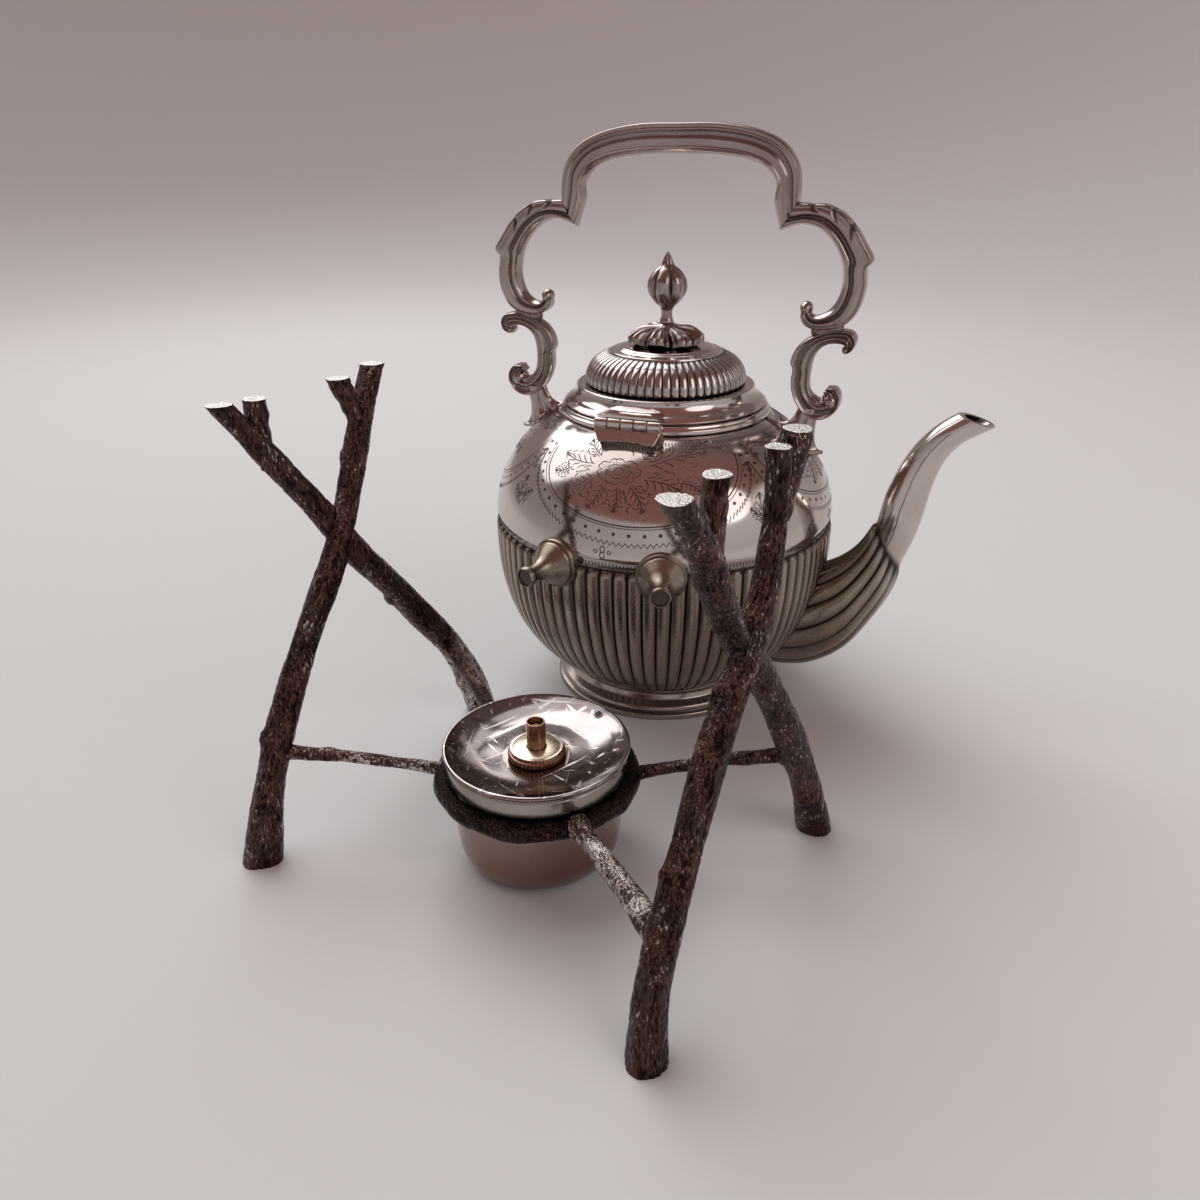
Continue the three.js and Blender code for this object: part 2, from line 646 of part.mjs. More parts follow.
function lidDome() {
  const foot = LID_RING_Z + WALL / 3 + SEAM;
  const rise = DOME_TOP_Z - foot;
  const points = REED_COUNT * 2;
  const plain = REED_COUNT / 2;
  const reeded = DOME_SHARES.map(([r, h]) => roundRing(DOME_R * r, foot + rise * h, points, REED_DEPTH));
  const hole = POST_R + SEAM;
  const smooth = [
    [DOME_TOP_R * 0.97, DOME_TOP_Z + WALL * 0.4], [DOME_TOP_R * 0.84, DOME_TOP_Z + WALL * 0.8],
    [DOME_TOP_R * 0.79, DOME_TOP_Z + WALL * 1.7], [hole, DOME_TOP_Z + WALL * 3.2],
    [hole, DOME_TOP_Z + WALL * 2], [DOME_TOP_R * 0.8, DOME_TOP_Z - WALL * 0.4],
  ];
  const inner = DOME_INNER_SHARES.map(([r, h]) => [DOME_R * r - REED_DEPTH, foot + rise * h]);
  const rings = [...smooth, ...inner].map(([r, z]) => roundRing(r, z, plain));
  return skin([...reeded, ...rings], { loop: true });
}

function domeCrownZ() {
  return DOME_TOP_Z + WALL * 3.2;
}

// A rosette of leaves that droop over the dome's top
function finialCalyx() {
  const base = domeCrownZ() + SEAM;
  const count = CALYX_LOBES * 4;
  const hole = POST_R + SEAM;
  const ragged = (j) => 1 + 0.1 * Math.cos((j / 4) * Math.PI * 2) + 0.05 * Math.cos(j * 2.3);
  const leafRing = (r, z, wave, frill) => roundRing(r, z, count).map((point, j) => {
    const swell = 1 + (ragged(j) - 1) * frill;
    return new THREE.Vector3(point.x * swell, point.y * swell, point.z + wave * (ragged(j + 2) - 1));
  });
  const rings = [
    leafRing(hole, base, 0, 0),
    leafRing(CALYX_R * 0.5, base, 0, 0),
    leafRing(CALYX_R * 0.94, base - CALYX_H * 0.12, CALYX_H * 0.9, 1),
    leafRing(CALYX_R, base + CALYX_H * 0.02, CALYX_H * 0.9, 1),
    leafRing(CALYX_R * 0.82, base + CALYX_H * 0.5, CALYX_H, 0.7),
    leafRing(CALYX_R * 0.5, base + CALYX_H * 0.74, CALYX_H * 0.6, 0.5),
    leafRing(STEM_R * 1.5, base + CALYX_H, 0, 0),
    leafRing(hole, base + CALYX_H, 0, 0),
  ];
  return skin(rings, { loop: true });
}

// The lobed bud with its pointed tip, its stem, and the threaded post below it
function finialBud() {
  const seat = domeCrownZ() + CALYX_H + SEAM * 2;
  const postEnd = domeCrownZ() - WALL * 2 - NUT_H - SEAM * 2;
  const count = BUD_LOBES * 4;
  const budRing = (r, z, lobe) => roundRing(r, z, count).map((point, j) => {
    const swell = 1 - lobe * (1 - Math.abs(Math.sin((j / 4) * Math.PI)));
    return new THREE.Vector3(point.x * swell, point.y * swell, point.z);
  });
  const lower = BUD_Z - BUD_R;
  const rings = [
    budRing(POST_R, postEnd, 0),
    budRing(POST_R, seat, 0),
    budRing(STEM_R * 1.25, seat, 0),
    budRing(STEM_R, lerp(seat, lower, 0.45), 0),
    budRing(STEM_R * 1.15, lerp(seat, lower, 0.95), 0),
    budRing(BUD_R * 0.66, BUD_Z - BUD_R * 0.68, 0.1),
    budRing(BUD_R * 0.97, BUD_Z - BUD_R * 0.2, 0.2),
    budRing(BUD_R * 0.95, BUD_Z + BUD_R * 0.3, 0.2),
    budRing(BUD_R * 0.66, BUD_Z + BUD_R * 0.76, 0.14),
    budRing(BUD_R * 0.34, BUD_Z + BUD_R * 1.02, 0.1),
    budRing(BUD_R * 0.2, lerp(BUD_Z + BUD_R, FINIAL_TIP_Z, 0.55), 0.3),
  ];
  return skin(rings, { endPoint: new THREE.Vector3(0, 0, FINIAL_TIP_Z) });
}

function finialNut() {
  const top = domeCrownZ() - WALL * 1.2 - SEAM * 2;
  const bore = POST_R + SEAM;
  return turned([[bore, top - NUT_H], [NUT_R, top - NUT_H], [NUT_R, top], [bore, top]], 6);
}

// Hinge

function knuckles(picks) {
  const pitch = HINGE_LENGTH / KNUCKLE_COUNT;
  return picks.map((i) => {
    const from = -HINGE_LENGTH / 2 + pitch * i + SEAM / 2;
    return pinLine(KNUCKLE_R, from, from + pitch - SEAM);
  });
}

function pinLine(radius, from, to) {
  return bar(radius, from, to, PIN_SIDES).rotateY(Math.PI / 2).translate(0, -HINGE_R, HINGE_Z);
}

function pinHole() {
  const half = HINGE_LENGTH / 2 + OVERRUN;
  return pinLine(HINGE_PIN_R + SEAM, -half, half);
}

// Room for the other leaf's knuckles, cut from each leaf's plate
function knuckleRoom(picks) {
  const pitch = HINGE_LENGTH / KNUCKLE_COUNT;
  return picks.map((i) => {
    const from = -HINGE_LENGTH / 2 + pitch * i - SEAM / 2;
    return pinLine(KNUCKLE_R + SEAM * 2, from, from + pitch + SEAM);
  });
}

// A block under the barrel and a plate over the shoulder, with a bracket-shaped lower edge
function bodyLeaf() {
  const half = HINGE_LENGTH / 2 - SEAM;
  const top = HINGE_Z - SEAM;
  const foot = HINGE_Z - LEAF_DROP;
  const face = slab([
    [-half, top], [-half, lerp(top, foot, 0.5)], [-half * 0.78, lerp(top, foot, 0.9)],
    [-half * 0.3, lerp(top, foot, 0.88)], [0, foot], [half * 0.45, foot],
    [half * 0.66, lerp(top, foot, 0.88)], [half, lerp(top, foot, 0.45)], [half, top],
  ], BODY_R * 4);
  const block = slab([
    [-HINGE_R - KNUCKLE_R * 0.9, lerp(top, foot, 0.1)], [-HINGE_R - KNUCKLE_R * 1.5, lerp(top, foot, 0.72)],
    [-COLLAR_R, lerp(top, foot, 0.8)], [-COLLAR_R * 0.9, top], [-HINGE_R, top],
  ], HINGE_LENGTH - SEAM * 2).rotateZ(Math.PI / 2);
  const front = bar(BODY_R * 2, HINGE_Z - OVERRUN * 3, top, 4);
  front.rotateZ(Math.PI / 4).translate(0, -BODY_R * 2 * Math.SQRT1_2 - BODY_NECK_R * 0.6, 0);
  const plate = common(bodyEnvelope(SEAM + LEAF_PLATE), front);
  const body = joined(common(joined(plate, block), face), ...knuckles([0, 2, 4]));
  const clear = collarEnvelope(SEAM).translate(0, 0, OVERRUN);
  return cut(body, ...knuckleRoom([1, 3]), pinHole(), bodyEnvelope(SEAM), collarEnvelope(SEAM), clear);
}

// A plate that lies on the lid's cove above the barrel
function lidLeaf() {
  const half = HINGE_LENGTH / 2 - SEAM;
  const low = HINGE_Z + SEAM;
  const high = HINGE_Z + LID_LEAF_RISE;
  const face = slab([
    [-half, low], [half, low], [half * 0.86, lerp(low, high, 0.62)], [half * 0.5, high],
    [-half * 0.5, high], [-half * 0.86, lerp(low, high, 0.62)],
  ], BODY_R * 4);
  const outer = lidEnvelope(SEAM + LEAF_PLATE);
  const front = bar(BODY_R * 2, HINGE_Z - OVERRUN * 3, HINGE_Z + OVERRUN * 3, 4);
  front.rotateZ(Math.PI / 4).translate(0, -BODY_R * 2 * Math.SQRT1_2 - LID_RING_R * 0.6, 0);
  const plate = common(common(outer, face), front);
  const link = slab([[-half, low], [half, low], [half, HINGE_Z + KNUCKLE_R * 0.7],
    [-half, HINGE_Z + KNUCKLE_R * 0.7]], HINGE_R - LID_RIM_R + WALL);
  link.translate(0, -(HINGE_R + LID_RIM_R - WALL) / 2, 0);
  const body = joined(plate, link, ...knuckles([1, 3]));
  return cut(body, ...knuckleRoom([0, 2, 4]), pinHole(), lidEnvelope(SEAM), collarEnvelope(SEAM * 2));
}

// Stand

// Each branch has the place of its foot as a share of STANCE_X, then its path from the sole to
// the cut tip and its fork's short prong, both as shares of STANCE_Y and STAND_H. Its girths are
// shares of BRANCH_R and PRONG_R, and its arm has its height on the leg and a share of TWIG_R.
const BRANCHES = {
  front_left: {
    frame: "left", stand_off: 1, phase: 0.4, footShare: 1.0625,
    path: [[-0.965, 0], [-0.875, 0.13], [-0.665, 0.31], [-0.44, 0.47], [-0.13, 0.65], [0.12, 0.78],
      [0.315, 0.89], [0.545, 1]],
    prong: [[0.29, 0.87], [0.28, 0.93], [0.245, 0.988]],
    girthShares: { sole: 1.26, shaft: 1, crossing: 0.95, tip: 0.88, prong: 1 },
    armShares: { leg: 0.242, girth: 0.95 },
  },
  rear_left: {
    frame: "left", stand_off: -1, phase: 1.9, footShare: 1.0375,
    path: [[1.03, 0], [0.95, 0.1], [0.845, 0.19], [0.7, 0.28], [0.48, 0.39], [0.26, 0.51],
      [0.01, 0.63], [-0.17, 0.75], [-0.36, 0.87], [-0.57, 0.995]],
    prong: [[-0.38, 0.85], [-0.38, 0.92], [-0.345, 0.99]],
    girthShares: { sole: 1.3, shaft: 1.1, crossing: 0.92, tip: 0.84, prong: 1 },
    armShares: { leg: 0.265, girth: 1.3 },
  },
  front_right: {
    frame: "right", stand_off: 1, phase: 3.1, footShare: 1.015,
    path: [[-0.95, 0], [-0.875, 0.12], [-0.7, 0.25], [-0.485, 0.375], [-0.245, 0.505], [0.05, 0.63],
      [0.25, 0.74], [0.34, 0.87], [0.335, 0.984]],
    prong: [[0.35, 0.85], [0.46, 0.93], [0.56, 0.995]],
    girthShares: { sole: 1.26, shaft: 1.02, crossing: 0.93, tip: 0.72, prong: 1.18 },
    armShares: { leg: 0.208, girth: 1.5 },
  },
  rear_right: {
    frame: "right", stand_off: -1, phase: 4.6, footShare: 1.03,
    path: [[1.05, 0], [0.93, 0.12], [0.73, 0.265], [0.52, 0.41], [0.28, 0.54], [0.03, 0.66],
      [-0.18, 0.77], [-0.38, 0.89], [-0.63, 1]],
    prong: [[-0.3, 0.84], [-0.3, 0.92], [-0.28, 1]],
    girthShares: { sole: 1.26, shaft: 1, crossing: 0.95, tip: 0.94, prong: 1 },
    armShares: { leg: 0.268, girth: 1 },
  },
};

const CROSS_SHARE = 0.655; // height at which a pair crosses
const BRANCH_SIDES = 10;
const BRANCH_RINGS = 15;

function branchPoint(branch, [shareY, shareZ]) {
  const frame = FRAMES[branch.frame];
  const table = [[0, branch.footShare], [CROSS_SHARE, frame.crossShare], [1, frame.topShare]];
  const near = Math.max(0, 1 - Math.abs(shareZ - CROSS_SHARE) / (CROSS_SHARE / 2));
  const x = frame.side * STANCE_X * valueAlong(table, shareZ) + branch.stand_off * CROSS_OFFSET * near;
  return new THREE.Vector3(x, STANCE_Y * shareY, STAND_H * shareZ);
}

// Slow swellings of a cast branch: knots and bark ridges that a designer can feel
function barkSwell(angle, run, phase) {
  return 0.05 * Math.sin(2 * angle + 5 * run + phase) + 0.04 * Math.sin(3 * angle - 17 * run + 2 * phase)
    + 0.035 * Math.sin(23 * run + 3 * phase);
}

// A branch along a curve, with its sole and its cut end lying flat where asked
function branchTube(points, radii, { grow = 0, phase = 0, rings = BRANCH_RINGS, flatEnds = false }) {
  const curve = new THREE.CatmullRomCurve3(points, false, "centripetal");
  const out = [];
  for (let i = 0; i < rings; i += 1) {
    const share = i / (rings - 1);
    const middle = curve.getPointAt(share);
    const run = curve.getTangentAt(share);
    const end = i === 0 || i === rings - 1;
    if (flatEnds && (end || i === 1 || i === rings - 2)) run.set(0, 0, Math.sign(run.z));
    if (flatEnds && i === rings - 1) run.set(0, 0, 1);
    const guide = Math.abs(run.z) > 0.35 ? new THREE.Vector3(1, 0, 0) : new THREE.Vector3(0, 0, 1);
    const across = guide.addScaledVector(run, -guide.dot(run)).normalize();
    const over = run.clone().cross(across);
    const radius = valueAlong(radii, share);
    out.push(Array.from({ length: BRANCH_SIDES }, (_, j) => {
      const angle = (j / BRANCH_SIDES) * Math.PI * 2;
      const r = radius * (1 + barkSwell(angle, share, phase)) + grow;
      const point = middle.clone().addScaledVector(across, r * Math.cos(angle));
      return point.addScaledVector(over, r * Math.sin(angle));
    }));
  }
  return skin(out);
}

function legTube(branch, grow = 0) {
  const points = branch.path.map((place) => branchPoint(branch, place));
  const { sole, shaft, crossing, tip } = branch.girthShares;
  const girths = [
    [0, sole], [0.08, shaft * 1.12], [0.17, shaft], [0.6, crossing], [0.9, tip * 0.96], [1, tip],
  ];
  const radii = girths.map(([share, girth]) => [share, BRANCH_R * girth]);
  return branchTube(points, radii, { grow, phase: branch.phase, flatEnds: true });
}

function prongTube(branch) {
  const points = branch.prong.map((place) => branchPoint(branch, place));
  const tip = PRONG_R * branch.girthShares.prong;
  const radii = [[0, tip * 0.85], [0.4, tip * 0.9], [1, tip]];
  return branchTube(points, radii, { phase: branch.phase + 1, rings: 6, flatEnds: true });
}

function ringTube(grow = 0) {
  const out = Array.from({ length: BURNER_SIDES }, (_, i) => {
    const turn = -(i / BURNER_SIDES) * Math.PI * 2;
    return Array.from({ length: BRANCH_SIDES }, (_, j) => {
      const angle = (j / BRANCH_SIDES) * Math.PI * 2;
      const outward = Math.max(0, Math.cos(angle + Math.PI / 5));
      const knot = outward * (0.1 + 0.1 * Math.sin(3 * turn + 0.8) + 0.08 * Math.sin(7 * turn));
      const r = RING_TUBE_R * (1 + Math.max(0, knot)) + grow;
      const reach = RING_R + r * Math.cos(angle);
      return new THREE.Vector3(
        BURNER_X + reach * Math.cos(turn), reach * Math.sin(turn), RING_Z + r * Math.sin(angle),
      );
    });
  });
  return skin(out, { loop: true });
}

// The arm that runs from a branch to the ring
function twig(branch) {
  const { leg: height, girth } = branch.armShares;
  const table = branch.path.map(([y, z]) => [z, y]);
  const leg = branchPoint(branch, [valueAlong(table, height), height]);
  const centre = new THREE.Vector3(BURNER_X, 0, RING_Z);
  const end = leg.clone().sub(centre).setZ(0).setLength(RING_R).add(centre);
  const size = TWIG_R * girth;
  const middle = leg.clone().lerp(end, 0.5);
  middle.z += TWIG_R * 0.4;
  const radii = [[0, size * 1.3], [0.25, size], [0.85, size * 0.95], [1, size * 1.2]];
  return branchTube([leg, middle, end], radii, { phase: branch.phase + 2, rings: 9 });
}

// Burner

function ringTopZ() {
  return RING_Z + RING_TUBE_R;
}

const BOWL_SHARES = [[0.7, 0], [0.88, 0.04], [0.965, 0.15], [1, 0.34], [1, 1]];

function burnerBowl() {
  const rise = ringTopZ() - BOWL_BASE_Z;
  const outer = BOWL_SHARES.map(([r, h]) => [BOWL_R * r, BOWL_BASE_Z + rise * h]);
  const inner = outer.map(([r, z]) => [r - BURNER_WALL, z]).reverse();
  const raised = inner.slice(1).map(([r, z]) => [r, z + BURNER_WALL]);
  const floor = BOWL_BASE_Z + BURNER_WALL;
  return turned([[0, BOWL_BASE_Z], ...outer, inner[0], ...raised, [0, floor]], BURNER_SIDES, false);
}

function drumZ() {
  return ringTopZ() + SEAM;
}

function burnerDrum() {
  const z = drumZ();
  return turned([
    [BOWL_R - BURNER_WALL * 2, z], [DRUM_R - BURNER_WALL / 2, z], [DRUM_R, z + BURNER_WALL / 2],
    [DRUM_R, z + DRUM_H], [DRUM_R - BURNER_WALL, z + DRUM_H], [DRUM_R - BURNER_WALL, z + BURNER_WALL],
    [BOWL_R - BURNER_WALL * 2, z + BURNER_WALL],
  ], BURNER_SIDES);
}

function dishRimZ() {
  return drumZ() + DRUM_H + SEAM + BURNER_WALL * 2;
}

const DISH_SHARES = [[0.36, 1], [0.62, 0.8], [0.82, 0.45], [0.935, 0.12]];

function dishSurface(offset) {
  return DISH_SHARES.map(([r, h]) => [DISH_R * r, dishRimZ() - DISH_SINK * h - offset]);
}

function burnerDish() {
  const rim = dishRimZ();
  const hole = BUSH_R + SEAM;
  const middle = rim - DISH_SINK;
  const edge = rim - BURNER_WALL * 2;
  const plate = turned([
    [hole, middle], ...dishSurface(0), [DISH_R * 0.98, rim], [DISH_R, rim - BURNER_WALL * 0.8],
    [DISH_R * 0.985, edge], [DISH_R * 0.94, edge],
    ...dishSurface(BURNER_WALL).reverse(), [hole, middle - BURNER_WALL],
  ].reverse(), BURNER_SIDES);
  const vent = bar(VENT_R, edge - OVERRUN, rim + OVERRUN, PIN_SIDES);
  return cut(plate, vent.translate(VENT_REACH, 0, 0).rotateZ(VENT_TURN));
}

function burnerBush() {
  const under = dishRimZ() - DISH_SINK - BURNER_WALL - SEAM;
  const top = dishRimZ() - DISH_SINK;
  return turned([
    [BUSH_BORE_R, under - BUSH_DROP], [BUSH_R, under - BUSH_DROP], [BUSH_R, under - BURNER_WALL * 2],
    [BUSH_FLANGE_R, under - BURNER_WALL * 2], [BUSH_FLANGE_R, under], [BUSH_R, under],
    [BUSH_R, top], [BUSH_BORE_R, top],
  ], SMALL_SIDES);
}

function wickCollarZ() {
  return dishRimZ() - DISH_SINK + SEAM;
}

function wickCollar() {
  const z = wickCollarZ();
  const bore = WICK_TUBE_R + SEAM;
  const plug = BUSH_BORE_R - SEAM;
  const plain = KNURL_COUNT;
  const count = plain * 2;
  const milling = KNURL_R * 0.03;
  const rings = [
    roundRing(bore, z - BUSH_DROP, plain), roundRing(plug, z - BUSH_DROP, plain),
    roundRing(plug, z, plain), roundRing(KNURL_R * 0.96, z, plain),
    roundRing(KNURL_R, z + KNURL_R * 0.04, count, milling),
    roundRing(KNURL_R, z + KNURL_R * 0.19, count, milling),
    roundRing(KNURL_R * 0.93, z + KNURL_R * 0.21, plain),
    roundRing(KNURL_R * 0.91, z + KNURL_R * 0.34, plain),
    roundRing(bore, z + KNURL_R * 0.34, plain),
  ];
  return skin(rings, { loop: true });
}

function wickTube() {
  const low = wickCollarZ() - BUSH_DROP - WICK_TUBE_R;
  const bore = WICK_TUBE_R - WICK_TUBE_WALL;
  return turned([
    [bore, low], [WICK_TUBE_R, low], [WICK_TUBE_R, WICK_TUBE_TOP_Z], [bore, WICK_TUBE_TOP_Z],
  ], SMALL_SIDES);
}

function wick() {
  const radius = WICK_TUBE_R - WICK_TUBE_WALL - SEAM;
  const top = WICK_TUBE_TOP_Z - WICK_SINK;
  return turned([
    [0, WICK_END_Z], [radius * 0.7, WICK_END_Z], [radius, WICK_END_Z + radius],
    [radius, top - radius * 0.3], [radius * 0.75, top], [0, top],
  ], PIN_SIDES, false);
}

// Assembly

function add(group, name, geometry, material) {
  const mesh = new THREE.Mesh(geometry, material);
  mesh.name = name;
  group.add(mesh);
}

function standGroup() {
  const group = new THREE.Group();
  const legs = Object.entries(BRANCHES);
  const fatRing = ringTube(SEAM);
  legs.forEach(([name, branch]) => {
    const behind = branch.stand_off < 0;
    const partner = legs.find(([, other]) => other.frame === branch.frame && other !== branch)[1];
    const leg = legTube(branch);
    add(group, `leg_${name}`, behind ? cut(leg, legTube(partner, SEAM)) : leg, oxidised);
    const prong = cut(prongTube(branch), legTube(branch, SEAM), legTube(partner, SEAM));
    add(group, `fork_prong_${name}`, prong, oxidised);
    add(group, `ring_arm_${name}`, cut(twig(branch), legTube(branch, SEAM), fatRing), oxidised);
  });
  add(group, "burner_ring", ringTube(), oxidised);
  return group;
}

function burnerGroup() {
  const group = new THREE.Group();
  group.position.set(BURNER_X, 0, 0);
  add(group, "burner_bowl", burnerBowl(), silver);
  add(group, "burner_drum", burnerDrum(), silver);
  add(group, "burner_dish", burnerDish(), silver);
  add(group, "burner_bush", burnerBush(), brass);
  add(group, "wick_collar", wickCollar(), brass);
  add(group, "wick_tube", wickTube(), brass);
  add(group, "wick", wick(), cotton);
  return group;
}

function kettleGroup() {
  const group = new THREE.Group();
  add(group, "kettle_body", kettleBody(), silver);
  add(group, "kettle_foot", kettleFoot(), silver);
  add(group, "kettle_collar", kettleCollar(), silver);
  add(group, "spout", spout(), silver);
  add(group, "handle_grip", handleGrip(), silver);
  [["front", 1], ["rear", -1]].forEach(([name, side]) => {
    add(group, `handle_scroll_${name}`, handleScroll(side), silver);
    add(group, `handle_bracket_${name}`, handleBracket(side), silver);
  });
  [["near", -Math.PI / 2], ["far", Math.PI / 2]].forEach(([face, middle]) => {
    [["rear", -1], ["front", 1]].forEach(([end, side]) => {
      const angle = middle + side * STUD_SPREAD * Math.sign(-middle);
      add(group, `stud_${face}_${end}`, stud(angle), silver);
    });
  });
  add(group, "hinge_leaf_body", bodyLeaf(), silver);
  const pinHalf = HINGE_LENGTH / 2 + SEAM;
  add(group, "hinge_pin", pinLine(HINGE_PIN_R, -pinHalf, pinHalf), silver);
  add(group, "hinge_leaf_lid", lidLeaf(), silver);
  add(group, "lid_flange", lidFlange(), silver);
  add(group, "lid_bezel", lidBezel(), silver);
  add(group, "lid_dome", lidDome(), silver);
  add(group, "finial_calyx", finialCalyx(), silver);
  add(group, "finial_bud", finialBud(), silver);
  add(group, "finial_nut", finialNut(), silver);
  group.position.set(KETTLE_X, KETTLE_Y, 0);
  group.rotation.z = KETTLE_TURN;
  return group;
}

const part = new THREE.Group();
part.add(standGroup(), burnerGroup(), kettleGroup());
part.updateMatrixWorld(true);

// The origin lies under the middle of the whole set, on the surface it stands on
const box = new THREE.Box3().setFromObject(part, true);
part.position.set(-(box.min.x + box.max.x) / 2, -(box.min.y + box.max.y) / 2, -box.min.z);

export default part;
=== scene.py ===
"""Looks of a spirit kettle with its branch stand and spirit burner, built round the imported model."""

import math

import bpy
import numpy as np
from mathutils import Matrix, Vector


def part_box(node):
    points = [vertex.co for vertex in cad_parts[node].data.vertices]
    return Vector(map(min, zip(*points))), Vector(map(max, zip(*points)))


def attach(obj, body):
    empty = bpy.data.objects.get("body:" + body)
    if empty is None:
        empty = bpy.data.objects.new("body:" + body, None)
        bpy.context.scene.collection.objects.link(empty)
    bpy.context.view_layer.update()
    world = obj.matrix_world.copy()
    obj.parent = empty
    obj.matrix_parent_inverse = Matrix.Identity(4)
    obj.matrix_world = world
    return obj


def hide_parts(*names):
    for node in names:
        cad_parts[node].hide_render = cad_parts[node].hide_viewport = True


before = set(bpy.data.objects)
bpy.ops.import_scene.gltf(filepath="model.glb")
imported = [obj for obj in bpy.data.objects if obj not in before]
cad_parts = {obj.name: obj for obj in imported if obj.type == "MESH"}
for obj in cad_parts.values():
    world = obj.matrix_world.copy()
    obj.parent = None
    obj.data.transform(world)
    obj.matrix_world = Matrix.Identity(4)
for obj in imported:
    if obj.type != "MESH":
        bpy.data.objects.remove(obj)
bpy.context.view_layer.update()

MM = 0.001
TAU = 2 * math.pi


def middle_of(node):
    """The axis of a round CAD node, in millimetres."""
    low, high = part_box(node)
    return np.array([(low.x + high.x) / 2, (low.y + high.y) / 2, 0]) / MM


# Named sizes, in millimetres, as in the part's source
WALL = 1.2
SEAM = 0.3
KETTLE_TURN = math.radians(12)
BODY_R = 78.0
BODY_WIDE_Z = 81.0
BODY_FOOT_R = 45.5
BODY_FOOT_Z = 13.0
BODY_NECK_R = 46.0
BODY_NECK_Z = 133.0
FULL_BELOW = 2.45
FULL_ABOVE = 2.3
FLUTE_COUNT = 80
FLUTE_DEPTH = 1.8
FLUTE_TOP_Z = 85.0
FOOT_R = 51.0
FOOT_RIM_WALL = 2.4
COLLAR_R = 46.8
COLLAR_BORE_R = 43.4
COLLAR_H = 3.7
SPOUT_REACH = 139.0
SPOUT_Z = 142.0
SPOUT_WALL = 1.3
SPOUT_HALF_WIDTH = 17.5
SPOUT_RIBS = 14
SPOUT_RIB_DEPTH = 2.1
HANDLE_HALF = 80.0
HANDLE_TOP_Z = 249.0
HANDLE_FOOT_Z = 135.0
HANDLE_SHIFT = 0.6
HANDLE_LEAN = 3.9
HANDLE_DEPTH = 10.5
STUD_SPREAD = math.radians(17)
STUD_Z = 84.5
STUD_REACH = 98.0
STUD_BOSS_R = 10.6
STUD_KNOB_R = 4.3
LID_RIM_R = 44.9
LID_RING_R = 39.3
LID_RING_Z = 145.2
BEZEL_WALL = 0.9
BEZEL_PLAY = 0.6
DOME_R = 35.8
DOME_TOP_R = 25.2
DOME_TOP_Z = 159.2
REED_COUNT = 60
REED_DEPTH = 1.0
CALYX_R = 15.8
CALYX_H = 7.2
CALYX_LOBES = 8
BUD_R = 8.7
BUD_Z = 185.8
BUD_LOBES = 6
FINIAL_TIP_Z = 200.0
STEM_R = 2.4
POST_R = 1.5
HINGE_R = 50.0
HINGE_Z = 138.6
HINGE_LENGTH = 28.4
KNUCKLE_COUNT = 5
KNUCKLE_R = 2.3
STAND_H = 166.0
STANCE_Y = 64.0
BRANCH_R = 5.8
PRONG_R = 4.3
TWIG_R = 2.7
CROSS_OFFSET = 1.5
BURNER_X = -0.8
RING_R = 34.2
RING_TUBE_R = 3.6
RING_Z = 34.1
BOWL_R = 30.5
BOWL_BASE_Z = 1.2
BURNER_WALL = 0.9
DRUM_R = 32.9
DRUM_H = 7.2
DISH_R = 34.0
DISH_SINK = 5.6
VENT_R = 1.3
VENT_REACH = 30.2
VENT_TURN = math.radians(75)
BUSH_R = 7.2
BUSH_BORE_R = 5.5
BUSH_DROP = 4.6
KNURL_R = 10.5
KNURL_COUNT = 48
WICK_TUBE_R = 3.45
WICK_TUBE_WALL = 0.6
WICK_TUBE_TOP_Z = 56.0
WICK_SINK = 2.2

# How far the corners of each outline are rounded
FOOT_ROUND = 0.55
COLLAR_ROUND = 0.5
PLATE_ROUND = 0.4
BARREL_ROUND = 0.22
FLANGE_ROUND = 0.4
CROWN_ROUND = 0.7
DRUM_ROUND = 0.2
VENT_ROUND = 0.25
RIM_ROUND = 0.4
TUBE_ROUND = 0.25
WICK_ROUND = 0.4

KETTLE_AT = middle_of("kettle_foot")
BURNER_AT = middle_of("burner_bowl")
STAND_AT = BURNER_AT - np.array([BURNER_X, 0, 0])


# Numbers and curves


def smooth(value, low, high):
    t = np.clip((np.asarray(value, float) - low) / (high - low), 0, 1)
    return t * t * (3 - 2 * t)


def mix(a, b, share):
    return a + (b - a) * share


def unit(v):
    return v / np.maximum(np.linalg.norm(v, axis=-1, keepdims=True), 1e-9)


def turns(count):
    """Even angles round a circle."""
    return np.arange(count) / count * TAU


def wrapped(angle):
    """Angles brought to between half a turn back and half a turn on."""
    return np.angle(np.exp(1j * angle))


def around(r, angle, z):
    """Points at distances from the Z axis, at angles round it and at heights."""
    return np.stack([r * np.cos(angle), r * np.sin(angle), z + 0 * angle], -1)


def spun(points, angle):
    """Points turned about the Z axis."""
    c, s = math.cos(angle), math.sin(angle)
    x, y = points[:, 0], points[:, 1]
    return np.stack([x * c - y * s, x * s + y * c, points[:, 2]], 1)


